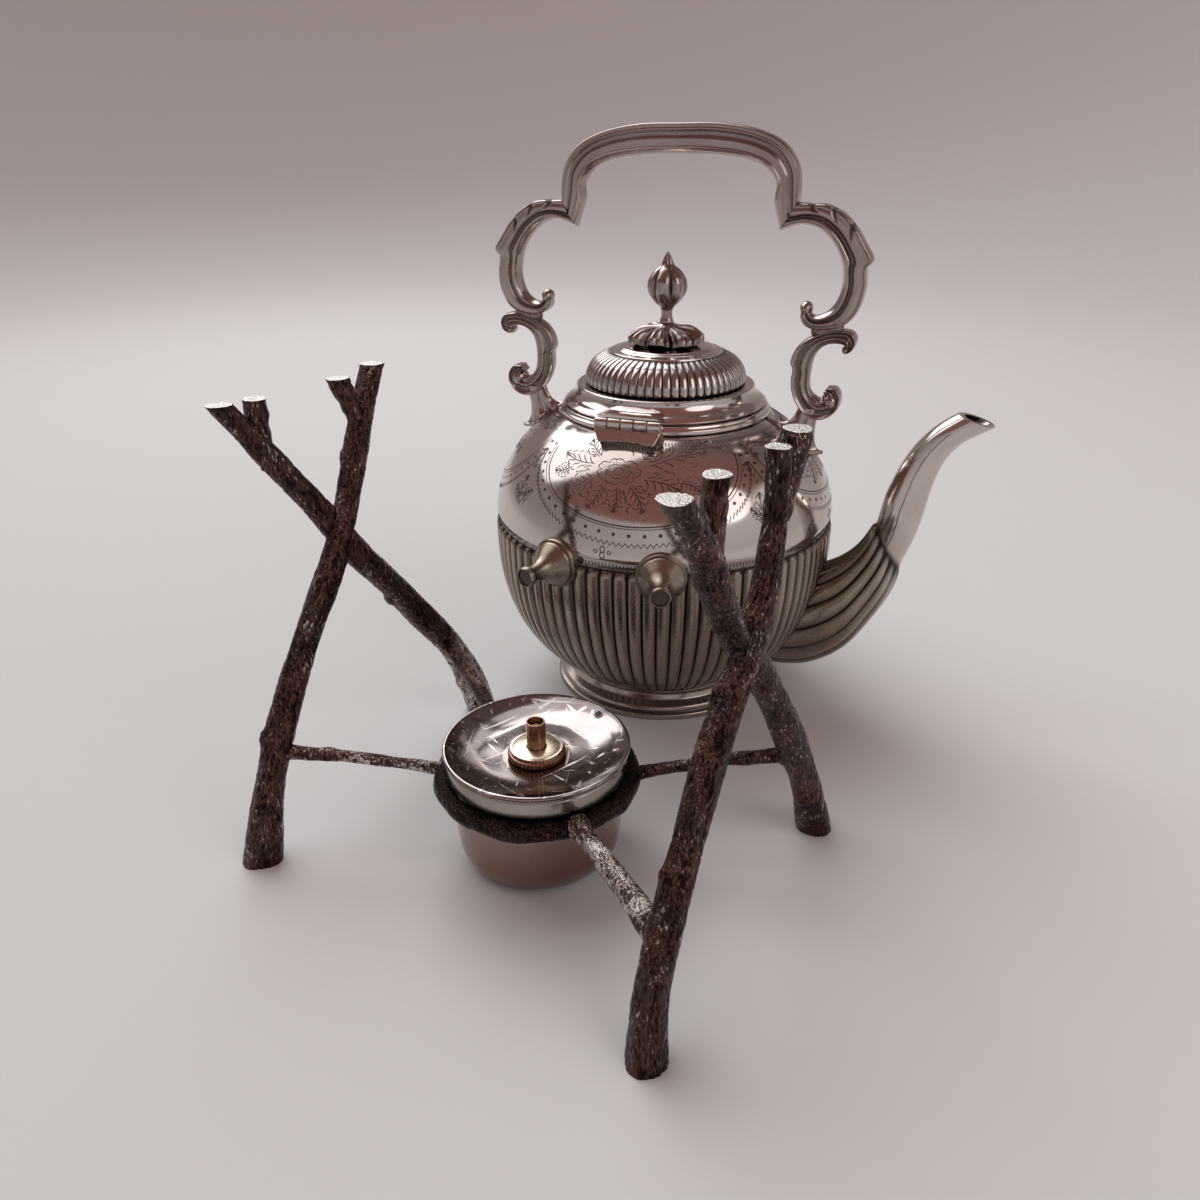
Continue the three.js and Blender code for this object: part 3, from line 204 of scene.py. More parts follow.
def spline(points, count, metric=None):
    """A smooth curve through points, as count points evenly spaced along it."""
    p = np.asarray(points, float)
    wide = np.vstack([2 * p[0] - p[1], p, 2 * p[-1] - p[-2]])
    columns = slice(0, metric)
    gap = np.linalg.norm(np.diff(wide, axis=0)[:, columns], axis=1)
    step = np.maximum(gap, 1e-6) ** 0.5
    fine = []
    last = len(wide) - 2
    for i in range(1, last):
        t0, t1, t2 = step[i - 1 : i + 2]
        a, b, c, d = wide[i - 1 : i + 3]
        out = (b - a) / t0 - (c - a) / (t0 + t1) + (c - b) / t1
        into = (c - b) / t1 - (d - b) / (t1 + t2) + (d - c) / t2
        t = np.linspace(0, 1, 40, endpoint=i == last - 1)[:, None]
        h = t * t * (3 - 2 * t)
        fine.append(b * (1 - h) + c * h + t1 * (out * t * (1 - t) ** 2 - into * t * t * (1 - t)))
    fine = np.vstack(fine)
    run = np.concatenate([[0], np.cumsum(np.linalg.norm(np.diff(fine, axis=0)[:, columns], axis=1))])
    at = np.linspace(0, run[-1], count)
    return np.stack([np.interp(at, run, column) for column in fine.T], 1)


def rounded(profile, radius, steps=4, loop=True):
    """A polyline whose corners are rounded."""
    p = np.asarray(profile, float)
    out = []
    n = len(p)
    for i in range(n):
        if not loop and i in (0, n - 1):
            out.append(p[i])
            continue
        before, here, after = p[i - 1], p[i], p[(i + 1) % n]
        size = min(radius, 0.45 * np.linalg.norm(before - here), 0.45 * np.linalg.norm(after - here))
        start = here + unit(before - here) * size
        end = here + unit(after - here) * size
        for t in np.linspace(0, 1, steps + 1):
            out.append(start * (1 - t) ** 2 + here * 2 * t * (1 - t) + end * t * t)
    return np.array(out)


def noise3(points, seed=0):
    """Smooth value noise from -1 to 1, the same on each run."""
    cell = np.floor(points).astype(np.int64)
    f = points - cell
    w = f * f * (3 - 2 * f)
    total = 0
    for dx in (0, 1):
        for dy in (0, 1):
            for dz in (0, 1):
                h = (cell[..., 0] + dx) * 73856093 ^ (cell[..., 1] + dy) * 19349663
                h = (h ^ (cell[..., 2] + dz) * 83492791 ^ (seed * 668265263 + 374761393)) & 0xFFFFFFFF
                h = ((h ^ (h >> 13)) * 1274126177) & 0xFFFFFFFF
                h = h ^ (h >> 16)
                value = (h & 0xFFFF) / 32767.5 - 1
                share = np.where(dx, w[..., 0], 1 - w[..., 0]) * np.where(dy, w[..., 1], 1 - w[..., 1])
                total = total + value * share * np.where(dz, w[..., 2], 1 - w[..., 2])
    return total


def rough_noise(points, octaves=3, seed=0):
    total, size = 0, 1.0
    for k in range(octaves):
        total = total + size * noise3(points * 2**k, seed + k)
        size *= 0.5
    return total / 1.75


# Meshes

# Where two faces meet at more than these angles, the edge stays sharp
EDGE_SHARP = math.radians(38)
LINE_SHARP = math.radians(20)
HANDLE_SHARP = math.radians(50)
BARK_SHARP = math.radians(55)
FINIAL_SHARP = math.radians(60)
BODY_LEAF_SHARP = math.radians(28)
LID_LEAF_SHARP = math.radians(40)


def surface(rings, loop=False, caps=True, **data):
    """A skin through closed rings of points, capped at its ends unless told otherwise."""
    n, m = rings.shape[:2]
    i = np.arange(n if loop else n - 1)[:, None]
    j = np.arange(m)[None, :]
    after = (i + 1) % n
    beside = (j + 1) % m
    quads = np.stack([i * m + j, i * m + beside, after * m + beside, after * m + j], -1).reshape(-1, 4)
    points = rings.reshape(-1, 3)
    values = {key: np.broadcast_to(value, (n, m)).reshape(-1) for key, value in data.items()}
    tris = np.zeros((0, 3), int)
    if caps and not loop:
        first = np.arange(m)
        second = (first + 1) % m
        base = n * m
        tops = (n - 1) * m
        tris = np.vstack([
            np.stack([np.full(m, base), second, first], 1),
            np.stack([np.full(m, base + 1), tops + first, tops + second], 1),
        ])
        points = np.vstack([points, rings[0].mean(0), rings[-1].mean(0)])
        values = {k: np.append(v, [v[:m].mean(), v[-m:].mean()]) for k, v in values.items()}
    return {"points": points, "quads": quads, "tris": tris, "data": values}


def outward(part):
    """Turns a closed skin's faces outwards."""
    p = part["points"] - part["points"].mean(0)
    q, t = part["quads"], part["tris"]
    tris = np.vstack([q[:, [0, 1, 2]], q[:, [0, 2, 3]], t]) if len(q) else t
    a, b, c = p[tris[:, 0]], p[tris[:, 1]], p[tris[:, 2]]
    if np.einsum("ij,ij->i", a, np.cross(b, c)).sum() < 0:
        part["quads"], part["tris"] = q[:, ::-1], t[:, ::-1]
    return part


def scene_object(name, data):
    obj = bpy.data.objects.new(name, data)
    bpy.context.scene.collection.objects.link(obj)
    return obj


def piece(name, parts, body, look, node=None, sharp=EDGE_SHARP):
    """Makes one object of closed skins, rides it on a body and lets it stand for a CAD node."""
    slot, material = look
    parts = [outward(part) for part in (parts if isinstance(parts, list) else [parts])]
    offsets = np.cumsum([0] + [len(part["points"]) for part in parts])
    points = IN_PLACE[body](np.vstack([part["points"] for part in parts]))
    quads = np.vstack([part["quads"] + offset for part, offset in zip(parts, offsets)])
    tris = np.vstack([part["tris"] + offset for part, offset in zip(parts, offsets)])
    mesh = bpy.data.meshes.new(name)
    mesh.vertices.add(len(points))
    mesh.vertices.foreach_set("co", (points * MM).astype(np.float32).ravel())
    mesh.loops.add(quads.size + tris.size)
    mesh.loops.foreach_set("vertex_index", np.concatenate([quads.ravel(), tris.ravel()]).astype(np.int32))
    mesh.polygons.add(len(quads) + len(tris))
    starts = np.concatenate([np.arange(len(quads)) * 4, quads.size + np.arange(len(tris)) * 3])
    mesh.polygons.foreach_set("loop_start", starts.astype(np.int32))
    mesh.update(calc_edges=True)
    mesh.validate()
    for key in sorted({key for part in parts for key in part["data"]}):
        values = [part["data"].get(key, np.zeros(len(part["points"]))) for part in parts]
        layer = mesh.attributes.new(key, "FLOAT", "POINT")
        layer.data.foreach_set("value", np.concatenate(values).astype(np.float32))
    mesh.polygons.foreach_set("use_smooth", np.ones(len(mesh.polygons), bool))
    mesh.set_sharp_from_angle(angle=sharp)
    mesh.materials.append(material)
    obj = scene_object(name, mesh)
    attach(obj, body)
    if node:
        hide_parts(node)


def circles(profile, sides):
    """Rings about the Z axis, one for each [radius, z] point of a profile."""
    profile = np.asarray(profile, float)
    return around(profile[:, 0, None], turns(sides), profile[:, 1, None])


def lathe(profile, sides=200, **data):
    """A round skin whose profile closes on itself."""
    return surface(circles(profile, sides), loop=True, **data)


def spindle(profile, sides, **data):
    """A round skin whose profile runs from axis to axis."""
    return surface(circles(profile, sides), **data)


def in_kettle(points):
    return spun(points, KETTLE_TURN) + KETTLE_AT


def in_burner(points):
    return points + BURNER_AT


def in_stand(points):
    return points + STAND_AT


IN_PLACE = {
    "kettle": in_kettle, "lid": in_kettle, "burner": in_burner, "wick_holder": in_burner, "stand": in_stand,
}


# Materials


class Nodes:
    """A short way to write the nodes of a material or a world."""

    def __init__(self, owner):
        owner.use_nodes = True
        self.owner = owner
        self.tree = owner.node_tree
        self.coordinates = self.add("ShaderNodeTexCoord").outputs

    def feed(self, socket, value):
        if isinstance(value, bpy.types.NodeSocket):
            self.tree.links.new(value, socket)
        else:
            socket.default_value = value

    def add(self, kind, values=None, **props):
        node = self.tree.nodes.new(kind)
        for key, value in props.items():
            setattr(node, key, value)
        for key, value in (values or {}).items():
            self.feed(node.inputs[key], value)
        return node

    def attribute(self, name):
        return self.add("ShaderNodeAttribute", attribute_name=name).outputs["Fac"]

    def noise(self, scale, detail=3, stretch=None, turn=0.0):
        place = self.coordinates["Object"]
        if turn:
            values = {"Vector": place, "Rotation": (0, 0, turn)}
            place = self.add("ShaderNodeMapping", values).outputs["Vector"]
        if stretch:
            place = self.add("ShaderNodeMapping", {"Vector": place, "Scale": stretch}).outputs["Vector"]
        values = {"Vector": place, "Scale": scale, "Detail": detail}
        return self.add("ShaderNodeTexNoise", values).outputs["Fac"]

    def math(self, operation, a, b=0.0, clamp=False):
        return self.add("ShaderNodeMath", {0: a, 1: b}, operation=operation, use_clamp=clamp).outputs[0]

    def total(self, start, *terms, clamp=False):
        """A value plus others, each times its weight."""
        for i, (value, weight) in enumerate(terms):
            part = self.math("MULTIPLY", value, weight)
            start = self.math("ADD", start, part, clamp and i == len(terms) - 1)
        return start

    def span(self, value, low, high, to_low=0.0, to_high=1.0, **props):
        values = {"Value": value, "From Min": low, "From Max": high, "To Min": to_low, "To Max": to_high}
        return self.add("ShaderNodeMapRange", values, **props).outputs["Result"]

    def blend(self, share, a, b):
        return self.add("ShaderNodeMix", {0: share, 6: a, 7: b}, data_type="RGBA").outputs[2]

    def bump(self, height, distance, strength=1.0, **normal):
        values = {"Height": height, "Distance": distance, "Strength": strength, **normal}
        return self.add("ShaderNodeBump", values).outputs["Normal"]

    def shade(self, **sockets):
        shader = self.tree.nodes["Principled BSDF"]
        for key, value in sockets.items():
            self.feed(shader.inputs[key.replace("_", " ")], value)
        return self.owner


def rgb(r, g, b):
    return (r, g, b, 1.0)


COPPER = rgb(0.32, 0.145, 0.105)
SCRATCH = rgb(0.8, 0.76, 0.74)
CLOUDS = (38, 4)  # scale and detail
CLOUD_RANGE = (0.42, 0.72)
SPECKS = (900, 2)
SPECK_RANGE = (0.62, 0.74)
SCRATCH_SCALE = 420
SCRATCH_TURNS = (0.3, 1.1, 1.9, 2.7)
SCRATCH_RANGE = (0.64, 0.7)
SCRATCH_STRETCH = (0.07, 1, 1)
SCRATCH_ROUGH = 0.3
DULL_STAIN, DULL_ROUGH = 0.85, 0.13
HOLLOW_ROUGH = 0.22
FINE_SCRATCHES = (2600, 2, (1, 1, 0.12))  # scale, detail and stretch
FINE_SWIRLS = (2200, 2, (0.1, 1, 1))
FINE_DEPTH = 0.000004
RIPPLES = (45, 2)
RIPPLE_DEPTH = 0.00012


def silver_material(name, bright, dark, stain, roughness, cloud=0.3, scratched=0.0):
    """Old silver: bright where it is rubbed, dull and warm where it is not, and dark in its hollows, with
    tarnish and painted shade.
    """
    n = Nodes(bpy.data.materials.new(name))
    hollow, dull, copper = n.attribute("hollow"), n.attribute("dull"), n.attribute("copper")
    clouds = n.span(n.noise(*CLOUDS), *CLOUD_RANGE)
    specks = n.span(n.noise(*SPECKS), *SPECK_RANGE)
    share = n.total(n.math("MULTIPLY", clouds, cloud), (dull, DULL_STAIN), clamp=True)
    colour = n.blend(copper, n.blend(share, bright, stain), COPPER)
    # The hollow value darkens towards the dark tone: tarnish and painted shade. The dark specks are tarnish.
    deep = n.total(n.math("POWER", hollow, 0.85), (specks, 0.12), clamp=True)
    colour = n.blend(deep, colour, dark)
    fine = n.math("MULTIPLY", n.math("ADD", n.noise(*FINE_SCRATCHES), n.noise(*FINE_SWIRLS)), 0.5)
    extra = n.total(n.math("MULTIPLY", hollow, HOLLOW_ROUGH), (dull, DULL_ROUGH))
    rough = n.math("ADD", n.span(fine, 0.35, 0.7, roughness * 0.7, roughness * 1.7), extra, clamp=True)
    if scratched:
        lines = 0.0
        for turn in SCRATCH_TURNS:
            strokes = n.noise(SCRATCH_SCALE, 3, SCRATCH_STRETCH, turn)
            lines = n.math("ADD", lines, n.span(strokes, *SCRATCH_RANGE))
        lines = n.math("MULTIPLY", lines, scratched, clamp=True)
        colour = n.blend(lines, colour, SCRATCH)
        rough = n.total(rough, (lines, SCRATCH_ROUGH), clamp=True)
    ripple = n.bump(n.noise(*RIPPLES), RIPPLE_DEPTH)
    normal = n.bump(fine, FINE_DEPTH, 0.5, Normal=ripple)
    return n.shade(Base_Color=colour, Metallic=1.0, Roughness=rough, Normal=normal)


BARK_TONES = (rgb(0.125, 0.058, 0.048), rgb(0.055, 0.036, 0.033))
BARK_HOLLOW = rgb(0.012, 0.008, 0.0075)
BARK_GLINT = rgb(0.64, 0.58, 0.55)
# The branches' cut tops: bare silver, painted lighter than any polished silver as a highlight
CUT_END_HIGHLIGHT = rgb(0.86, 0.84, 0.81)
GRAIN = (1500, 3, (1, 1, 0.22))  # scale, detail and stretch
GRAIN_DEPTH = 0.0008
PORES = (4200, 2)
PORE_DEPTH = 0.0001
# Their sum sets both the ridges' rubbed tone and the painted glints on the highest bark
GRAIN_RUB, PATCH_RUB, BARE_RUB = 2.8, 0.9, 0.7  # how much each adds to the rubbed ridges
TONE_RANGE = (0.35, 0.95)
GLINT_RANGE = (1.25, 1.7)


def branch_material(name):
    """Cast silver left dark in the bark's hollows and rubbed lighter on its ridges, with painted glints
    where the bark stands highest.
    """
    n = Nodes(bpy.data.materials.new(name))
    grain = n.noise(*GRAIN)
    patches = n.noise(60)
    grainy, patchy = (n.math("SUBTRACT", value, 0.5) for value in (grain, patches))
    bare = n.attribute("bare")
    lift = n.total(n.attribute("rub"), (grainy, GRAIN_RUB), (patchy, PATCH_RUB), (bare, BARE_RUB))
    tone = n.blend(n.span(patches, 0.38, 0.62), *BARK_TONES)
    tone = n.blend(n.span(lift, *TONE_RANGE), BARK_HOLLOW, tone)
    # Painted glints on the highest bark
    colour = n.blend(n.span(lift, *GLINT_RANGE), tone, BARK_GLINT)
    cut = n.attribute("cut")
    # Cut tops: bare silver with a painted highlight
    colour = n.blend(cut, colour, CUT_END_HIGHLIGHT)
    rough = n.total(n.span(grain, 0.3, 0.7, 0.17, 0.32), (cut, -0.04))
    normal = n.bump(grain, GRAIN_DEPTH, Normal=n.bump(n.noise(*PORES), PORE_DEPTH, 0.8))
    return n.shade(Base_Color=colour, Metallic=1.0, Roughness=rough, Normal=normal)


BRASS_TONES = (rgb(0.44, 0.25, 0.17), rgb(0.32, 0.17, 0.11))
BRASS_TOP = rgb(0.72, 0.63, 0.5)
BRASS_HOLLOW = rgb(0.1, 0.05, 0.03)
BRASS_GRAIN_DEPTH = 0.00001


def brass_material(name):
    """Old brass, rubbed bright on the collar's top."""
    n = Nodes(bpy.data.materials.new(name))
    base = n.blend(n.span(n.noise(160), 0.4, 0.65), *BRASS_TONES)
    base = n.blend(n.attribute("top"), base, BRASS_TOP)
    colour = n.blend(n.math("MULTIPLY", n.attribute("hollow"), 0.8), base, BRASS_HOLLOW)
    rough = n.span(n.noise(1500, 2), 0.3, 0.7, 0.2, 0.42)
    normal = n.bump(n.noise(1800, 2), BRASS_GRAIN_DEPTH, 0.6)
    return n.shade(Base_Color=colour, Metallic=1.0, Roughness=rough, Normal=normal)


FIBRES = (2400, 3, (1, 1, 0.3))
COTTON_TONES = (rgb(0.2, 0.16, 0.12), rgb(0.62, 0.55, 0.44))
FIBRE_DEPTH = 0.0002


def cotton_material(name):
    n = Nodes(bpy.data.materials.new(name))
    fibre = n.noise(*FIBRES)
    colour = n.blend(n.span(fibre, 0.35, 0.65), *COTTON_TONES)
    return n.shade(Base_Color=colour, Roughness=0.95, Normal=n.bump(fibre, FIBRE_DEPTH, 0.8))


# Each silver: its bright, dark and stained tones, roughness, cloudiness and scratches
POLISHED_SILVER = silver_material(
    "polished_silver_look", rgb(0.61, 0.55, 0.52), rgb(0.04, 0.03, 0.027), rgb(0.32, 0.26, 0.205), 0.11)
WORN_SILVER = silver_material(
    "worn_silver_look", rgb(0.405, 0.335, 0.318), rgb(0.05, 0.034, 0.031), rgb(0.25, 0.18, 0.155), 0.16, 0.6)
# The dish's silver: darker than the worn silver, painting in a darker reflection
DISH_SILVER = silver_material(
    "dish_silver_look", rgb(0.3, 0.27, 0.265), rgb(0.03, 0.022, 0.022), rgb(0.19, 0.145, 0.14),
    0.1, 0.7, 0.7)
# The bowl's silver: polished silver made much darker, painted shade and darker reflection
BOWL_SILVER = silver_material(
    "bowl_silver_look", rgb(0.37, 0.3, 0.275), rgb(0.03, 0.022, 0.022), rgb(0.27, 0.195, 0.165), 0.09, 0.5)
LINE_SILVER = silver_material(
    "engraved_line_look", rgb(0.1, 0.07, 0.06), rgb(0.04, 0.03, 0.025), rgb(0.07, 0.05, 0.04), 0.3)

# Each look is the record's slot and a material
POLISHED = ("polished_silver", POLISHED_SILVER)
WORN = ("worn_silver", WORN_SILVER)
DISH = ("worn_silver", DISH_SILVER)
BOWL = ("polished_silver", BOWL_SILVER)
LINES = ("polished_silver", LINE_SILVER)
BARK = ("oxidised_branch", branch_material("oxidised_branch_look"))
BRASS = ("burner_brass", brass_material("burner_brass_look"))
COTTON = ("wick_cotton", cotton_material("wick_cotton_look"))


# Shapes of the kettle


def body_radius(z):
    z = np.asarray(z, float)
    below = z < BODY_WIDE_Z
    end = np.where(below, BODY_FOOT_R, BODY_NECK_R)
    run = np.where(below, BODY_WIDE_Z - BODY_FOOT_Z, BODY_NECK_Z - BODY_WIDE_Z)
    power = np.where(below, FULL_BELOW, FULL_ABOVE)
    half = run / (1 - (end / BODY_R) ** power) ** (1 / power)
    return BODY_R * (1 - np.clip(np.abs(z - BODY_WIDE_Z) / half, 0, 1) ** power) ** (1 / power)


def even_heights(low, high, count):
    """Heights that are evenly spaced along the body's curve."""
    z = np.linspace(low, high, 600)
    run = np.concatenate([[0], np.cumsum(np.hypot(np.diff(z), np.diff(body_radius(z))))])
    return np.interp(np.linspace(0, run[-1], count), run, z)


FLUTE_STEPS = 10
FLUTE_ROUND = 3.2  # height over which a flute's round end closes
BAND_END_Z = 91.0  # where the sunk band over the flutes has come back to the plain shoulder
BAND_START = 0.6  # over the flutes' tops
GROOVE_SHADE = 0.9  # the power that spreads the dark of a groove
BAND_SHADE = 0.6
BAND_DARK_H = 3  # how far the dark reaches over the flutes
INSIDE_SHADE = 0.2
INSIDE_FADE = 3  # how far under the flutes' tops the wall's inside begins to widen
DULL_FADE = (FLUTE_TOP_Z - 1, FLUTE_TOP_Z + 2)  # heights between which the flutes' dull finish ends


def flute_turns(count, steps):
    """Angles round a fluted piece, close together at the grooves, and the share across each flute."""
    across = -np.cos(np.arange(steps) / steps * math.pi)
    angles = (np.arange(count)[:, None] + across[None, :] / 2) / count * TAU
    return angles.reshape(-1), np.tile(across, count)


def flute_bump(across, end):
    """Height of flutes with round ends, from 0 in the grooves to 1."""
    return np.sqrt(np.clip(1 - across[None, :] ** 2 - end**2, 0, 1))


def band_fade(z):
    return 1 - smooth(z, FLUTE_TOP_Z + BAND_START, BAND_END_Z)


def kettle_body():
    angle, across = flute_turns(FLUTE_COUNT, FLUTE_STEPS)
    tops = FLUTE_TOP_Z - FLUTE_ROUND * np.cos(np.linspace(0, math.pi / 2, 13))
    z = np.concatenate([
        even_heights(BODY_FOOT_Z, FLUTE_TOP_Z - FLUTE_ROUND, 64)[:-1], tops,
        np.linspace(FLUTE_TOP_Z, BAND_END_Z, 14)[1:], even_heights(BAND_END_Z, BODY_NECK_Z, 44)[1:],
    ])[:, None]
    radius = body_radius(z)
    depth = FLUTE_DEPTH * np.sqrt(radius / BODY_R)
    bump = flute_bump(across, np.clip((z - FLUTE_TOP_Z + FLUTE_ROUND) / FLUTE_ROUND, 0, 1))
    outside = around(radius - depth * band_fade(z) * (1 - bump), angle, z)
    grooves = np.clip(1 - bump, 0, 1) ** GROOVE_SHADE * band_fade(z)
    above = (z > FLUTE_TOP_Z) * (1 - smooth(z, FLUTE_TOP_Z, FLUTE_TOP_Z + BAND_DARK_H)) * BAND_SHADE
    hollow = np.maximum(np.where(z > FLUTE_TOP_Z, 0, grooves), above)
    z_in = even_heights(BODY_NECK_Z, BODY_FOOT_Z + WALL, 26)[:, None]
    r_in = body_radius(z_in) - WALL - FLUTE_DEPTH * (1 - smooth(z_in, FLUTE_TOP_Z - INSIDE_FADE, BAND_END_Z))
    inside = around(r_in, angle, z_in)
    dull = 1 - smooth(z, *DULL_FADE) + 0 * angle
    dull = np.vstack([dull, np.ones(inside.shape[:2])])
    hollow = np.vstack([hollow, np.full(inside.shape[:2], INSIDE_SHADE)])
    skin = surface(np.vstack([outside, inside]), hollow=hollow, dull=dull)
    piece("kettle_body_shell", skin, "kettle", POLISHED, "kettle_body")


FOOT_SHARES = [
    (1, 0), (0.995, 0.2), (0.955, 0.26), (0.97, 0.32), (0.962, 0.45), (0.89, 0.6), (0.872, 0.8), (0.9, 1),
    (0.85, 1), (0.855, 0.58), (0.93, 0.24),
]
FOOT_GROOVE_SHARE = 0.26  # of its height
FOOT_SHADES = (0.1, 0.5)  # all over, and more in the groove


def kettle_foot():
    top = BODY_FOOT_Z - SEAM
    profile = [(FOOT_R * r, top * h) for r, h in FOOT_SHARES] + [(FOOT_R - FOOT_RIM_WALL, 0)]
    profile = rounded(profile, FOOT_ROUND, 5)
    groove = smooth(-np.abs(profile[:, 1:] - top * FOOT_GROOVE_SHARE), -1, 0)
    hollow = FOOT_SHADES[0] + FOOT_SHADES[1] * groove
    piece("kettle_foot_ring", lathe(profile, hollow=hollow, dull=0.5), "kettle", POLISHED, "kettle_foot")


def kettle_collar():
    z = BODY_NECK_Z + SEAM
    profile = rounded([
        (COLLAR_BORE_R, z), (BODY_NECK_R, z), (COLLAR_R, z + COLLAR_H * 0.16),
        (COLLAR_R, z + COLLAR_H * 0.52), (BODY_NECK_R, z + COLLAR_H * 0.68),
        (BODY_NECK_R - WALL / 2, z + COLLAR_H), (COLLAR_BORE_R, z + COLLAR_H),
    ], COLLAR_ROUND, 5)
    piece("neck_collar", lathe(profile), "kettle", POLISHED, "kettle_collar")


# The spout's outline pairs, as shares of its reach, its height and the root's half width
SPOUT_PAIR_SHARES = [
    (0.36, 0.4, 0.3, 0.13, 0.86), (0.475, 0.44, 0.4, 0.108, 0.98), (0.56, 0.488, 0.535, 0.128, 1),
    (0.61, 0.52, 0.645, 0.2, 0.87), (0.652, 0.562, 0.722, 0.315, 0.71),
    (0.682, 0.614, 0.776, 0.425, 0.58), (0.701, 0.676, 0.806, 0.535, 0.51),
    (0.727, 0.762, 0.835, 0.666, 0.46), (0.755, 0.837, 0.854, 0.782, 0.43),
    (0.792, 0.902, 0.879, 0.858, 0.41), (0.842, 0.958, 0.922, 0.914, 0.41),
    (0.903, 1.002, 0.975, 0.949, 0.37), (0.938, 1.022, 1.0, 0.964, 0.34),
]
RIB_END = 5.6  # the pair at which the ribs' round ends close
RIB_ROUND = 0.75
MOUTH_SHARES = ((0.8, 1.022), (1.1, 0.94))  # two places on the line that cuts the mouth
SPOUT_ROWS = 130
ROOT_SINK = 1.5  # how far the spout's root lies in the body's flutes
LIP_RISE = 0.25
DULL_ROWS = (46, 62)  # the rows in which the ribs' dull finish ends


def spout_skin(inset, ribbed):
    """Lines that run from the body's surface to the mouth's plane, as rows of points."""
    pairs = []
    for i, (tx, tz, bx, bz, half) in enumerate(SPOUT_PAIR_SHARES):
        throat = np.array([SPOUT_REACH * tx, SPOUT_Z * tz])
        breast = np.array([SPOUT_REACH * bx, SPOUT_Z * bz])
        pull = unit(throat - breast) * inset
        pairs.append([*(throat - pull), *(breast + pull), SPOUT_HALF_WIDTH * half - inset, i])
    pairs = spline(pairs, 400, metric=4)
    angle, across = flute_turns(SPOUT_RIBS, FLUTE_STEPS)
    ox, oz, ix, iz, half, index = (pairs[:, k, None] for k in range(6))
    size = np.hypot(ox - ix, oz - iz) / 2
    bump = flute_bump(across, np.clip((index - RIB_END + RIB_ROUND) / RIB_ROUND, 0, 1))
    fade = (1 - smooth(index, RIB_END - 0.1, RIB_END + 1.2)) * ribbed
    groove = SPOUT_RIB_DEPTH / size * fade * (1 - bump)
    a, b = np.cos(angle) * (1 - groove), np.sin(angle) * (1 - groove)
    grid = np.stack([mix(ix, ox, (1 + a) / 2), -half * b, mix(iz, oz, (1 + a) / 2)], -1)
    hollow = np.clip(1 - bump, 0, 1) ** GROOVE_SHADE * (1 - smooth(index, RIB_END, RIB_END + 0.25)) * ribbed
    past_body = np.hypot(grid[..., 0], grid[..., 1]) - body_radius(grid[..., 2]) + ROOT_SINK
    (x0, z0), (x1, z1) = [(SPOUT_REACH * x, SPOUT_Z * z) for x, z in MOUTH_SHARES]
    past_mouth = grid[..., 2] - z0 - (z1 - z0) / (x1 - x0) * (grid[..., 0] - x0)
    at = np.arange(len(pairs))
    rings = np.zeros((SPOUT_ROWS, len(angle), 3))
    deep = np.zeros((SPOUT_ROWS, len(angle)))
    for j in range(len(angle)):
        k = np.nonzero(past_body[:, j] < 0)[0][-1]
        start = k + past_body[k, j] / (past_body[k, j] - past_body[k + 1, j])
        over = np.nonzero(past_mouth[:, j] > 0)[0]
        stop = len(pairs) - 1.0
        if len(over):
            k = over[0]
            stop = k - past_mouth[k, j] / (past_mouth[k, j] - past_mouth[k - 1, j])
        rows_at = np.linspace(start, stop, SPOUT_ROWS)
        for c in range(3):
            rings[:, j, c] = np.interp(rows_at, at, grid[:, j, c])
        deep[:, j] = np.interp(rows_at, at, hollow[:, j])
    return rings, deep


def spout():
    outer, hollow = spout_skin(0, 1)
    inner, _ = spout_skin(SPOUT_WALL + SPOUT_RIB_DEPTH * 0.4, 0)
    lip = mix(outer[-1], inner[-1], 0.5) + [0, 0, LIP_RISE]
    rings = np.concatenate([outer, lip[None], inner[::-1]])
    # Tarnish and painted shade in the ribs' grooves, and painted shade over the inside of the spout
    hollow = np.vstack([hollow, np.zeros((1, hollow.shape[1])), np.full(inner.shape[:2], 0.5)])
    ribs = 1 - smooth(np.arange(len(rings)), *DULL_ROWS)[:, None]
    piece("spout_tube", surface(rings, loop=True, hollow=hollow, dull=ribs), "kettle", POLISHED, "spout")


# The handle's outline pairs, as shares of its half width and of its height over its feet
GRIP_PAIR_SHARES = [
    (0, 0.9995, 0, 0.896, 1), (0.215, 0.997, 0.19, 0.892, 1), (0.41, 0.972, 0.36, 0.876, 0.98),
    (0.535, 0.93, 0.458, 0.846, 0.95), (0.606, 0.866, 0.506, 0.798, 0.92),
    (0.628, 0.8, 0.504, 0.745, 0.9), (0.625, 0.744, 0.545, 0.65, 0.9),
]
SCROLL_PAIR_SHARES = [
    (0.63, 0.746, 0.55, 0.652, 0.9), (0.7, 0.743, 0.64, 0.672, 0.93), (0.762, 0.742, 0.692, 0.67, 0.96),
    (0.821, 0.728, 0.738, 0.66, 0.98), (0.883, 0.699, 0.785, 0.637, 1), (0.935, 0.66, 0.822, 0.61, 1.02),
    (0.98, 0.614, 0.848, 0.583, 1.03), (1.024, 0.562, 0.866, 0.556, 1.05), (1, 0.538, 0.876, 0.537, 1),
    (1.006, 0.476, 0.886, 0.487, 0.97), (1.001, 0.436, 0.88, 0.45, 0.95),
    (0.985, 0.395, 0.862, 0.416, 0.92), (0.955, 0.36, 0.836, 0.391, 0.9),
    (0.905, 0.334, 0.806, 0.377, 0.87), (0.84, 0.323, 0.782, 0.371, 0.84),
    (0.778, 0.321, 0.766, 0.371, 0.8), (0.73, 0.333, 0.754, 0.376, 0.74),
    (0.7, 0.356, 0.746, 0.385, 0.66), (0.698, 0.388, 0.745, 0.396, 0.55),
]
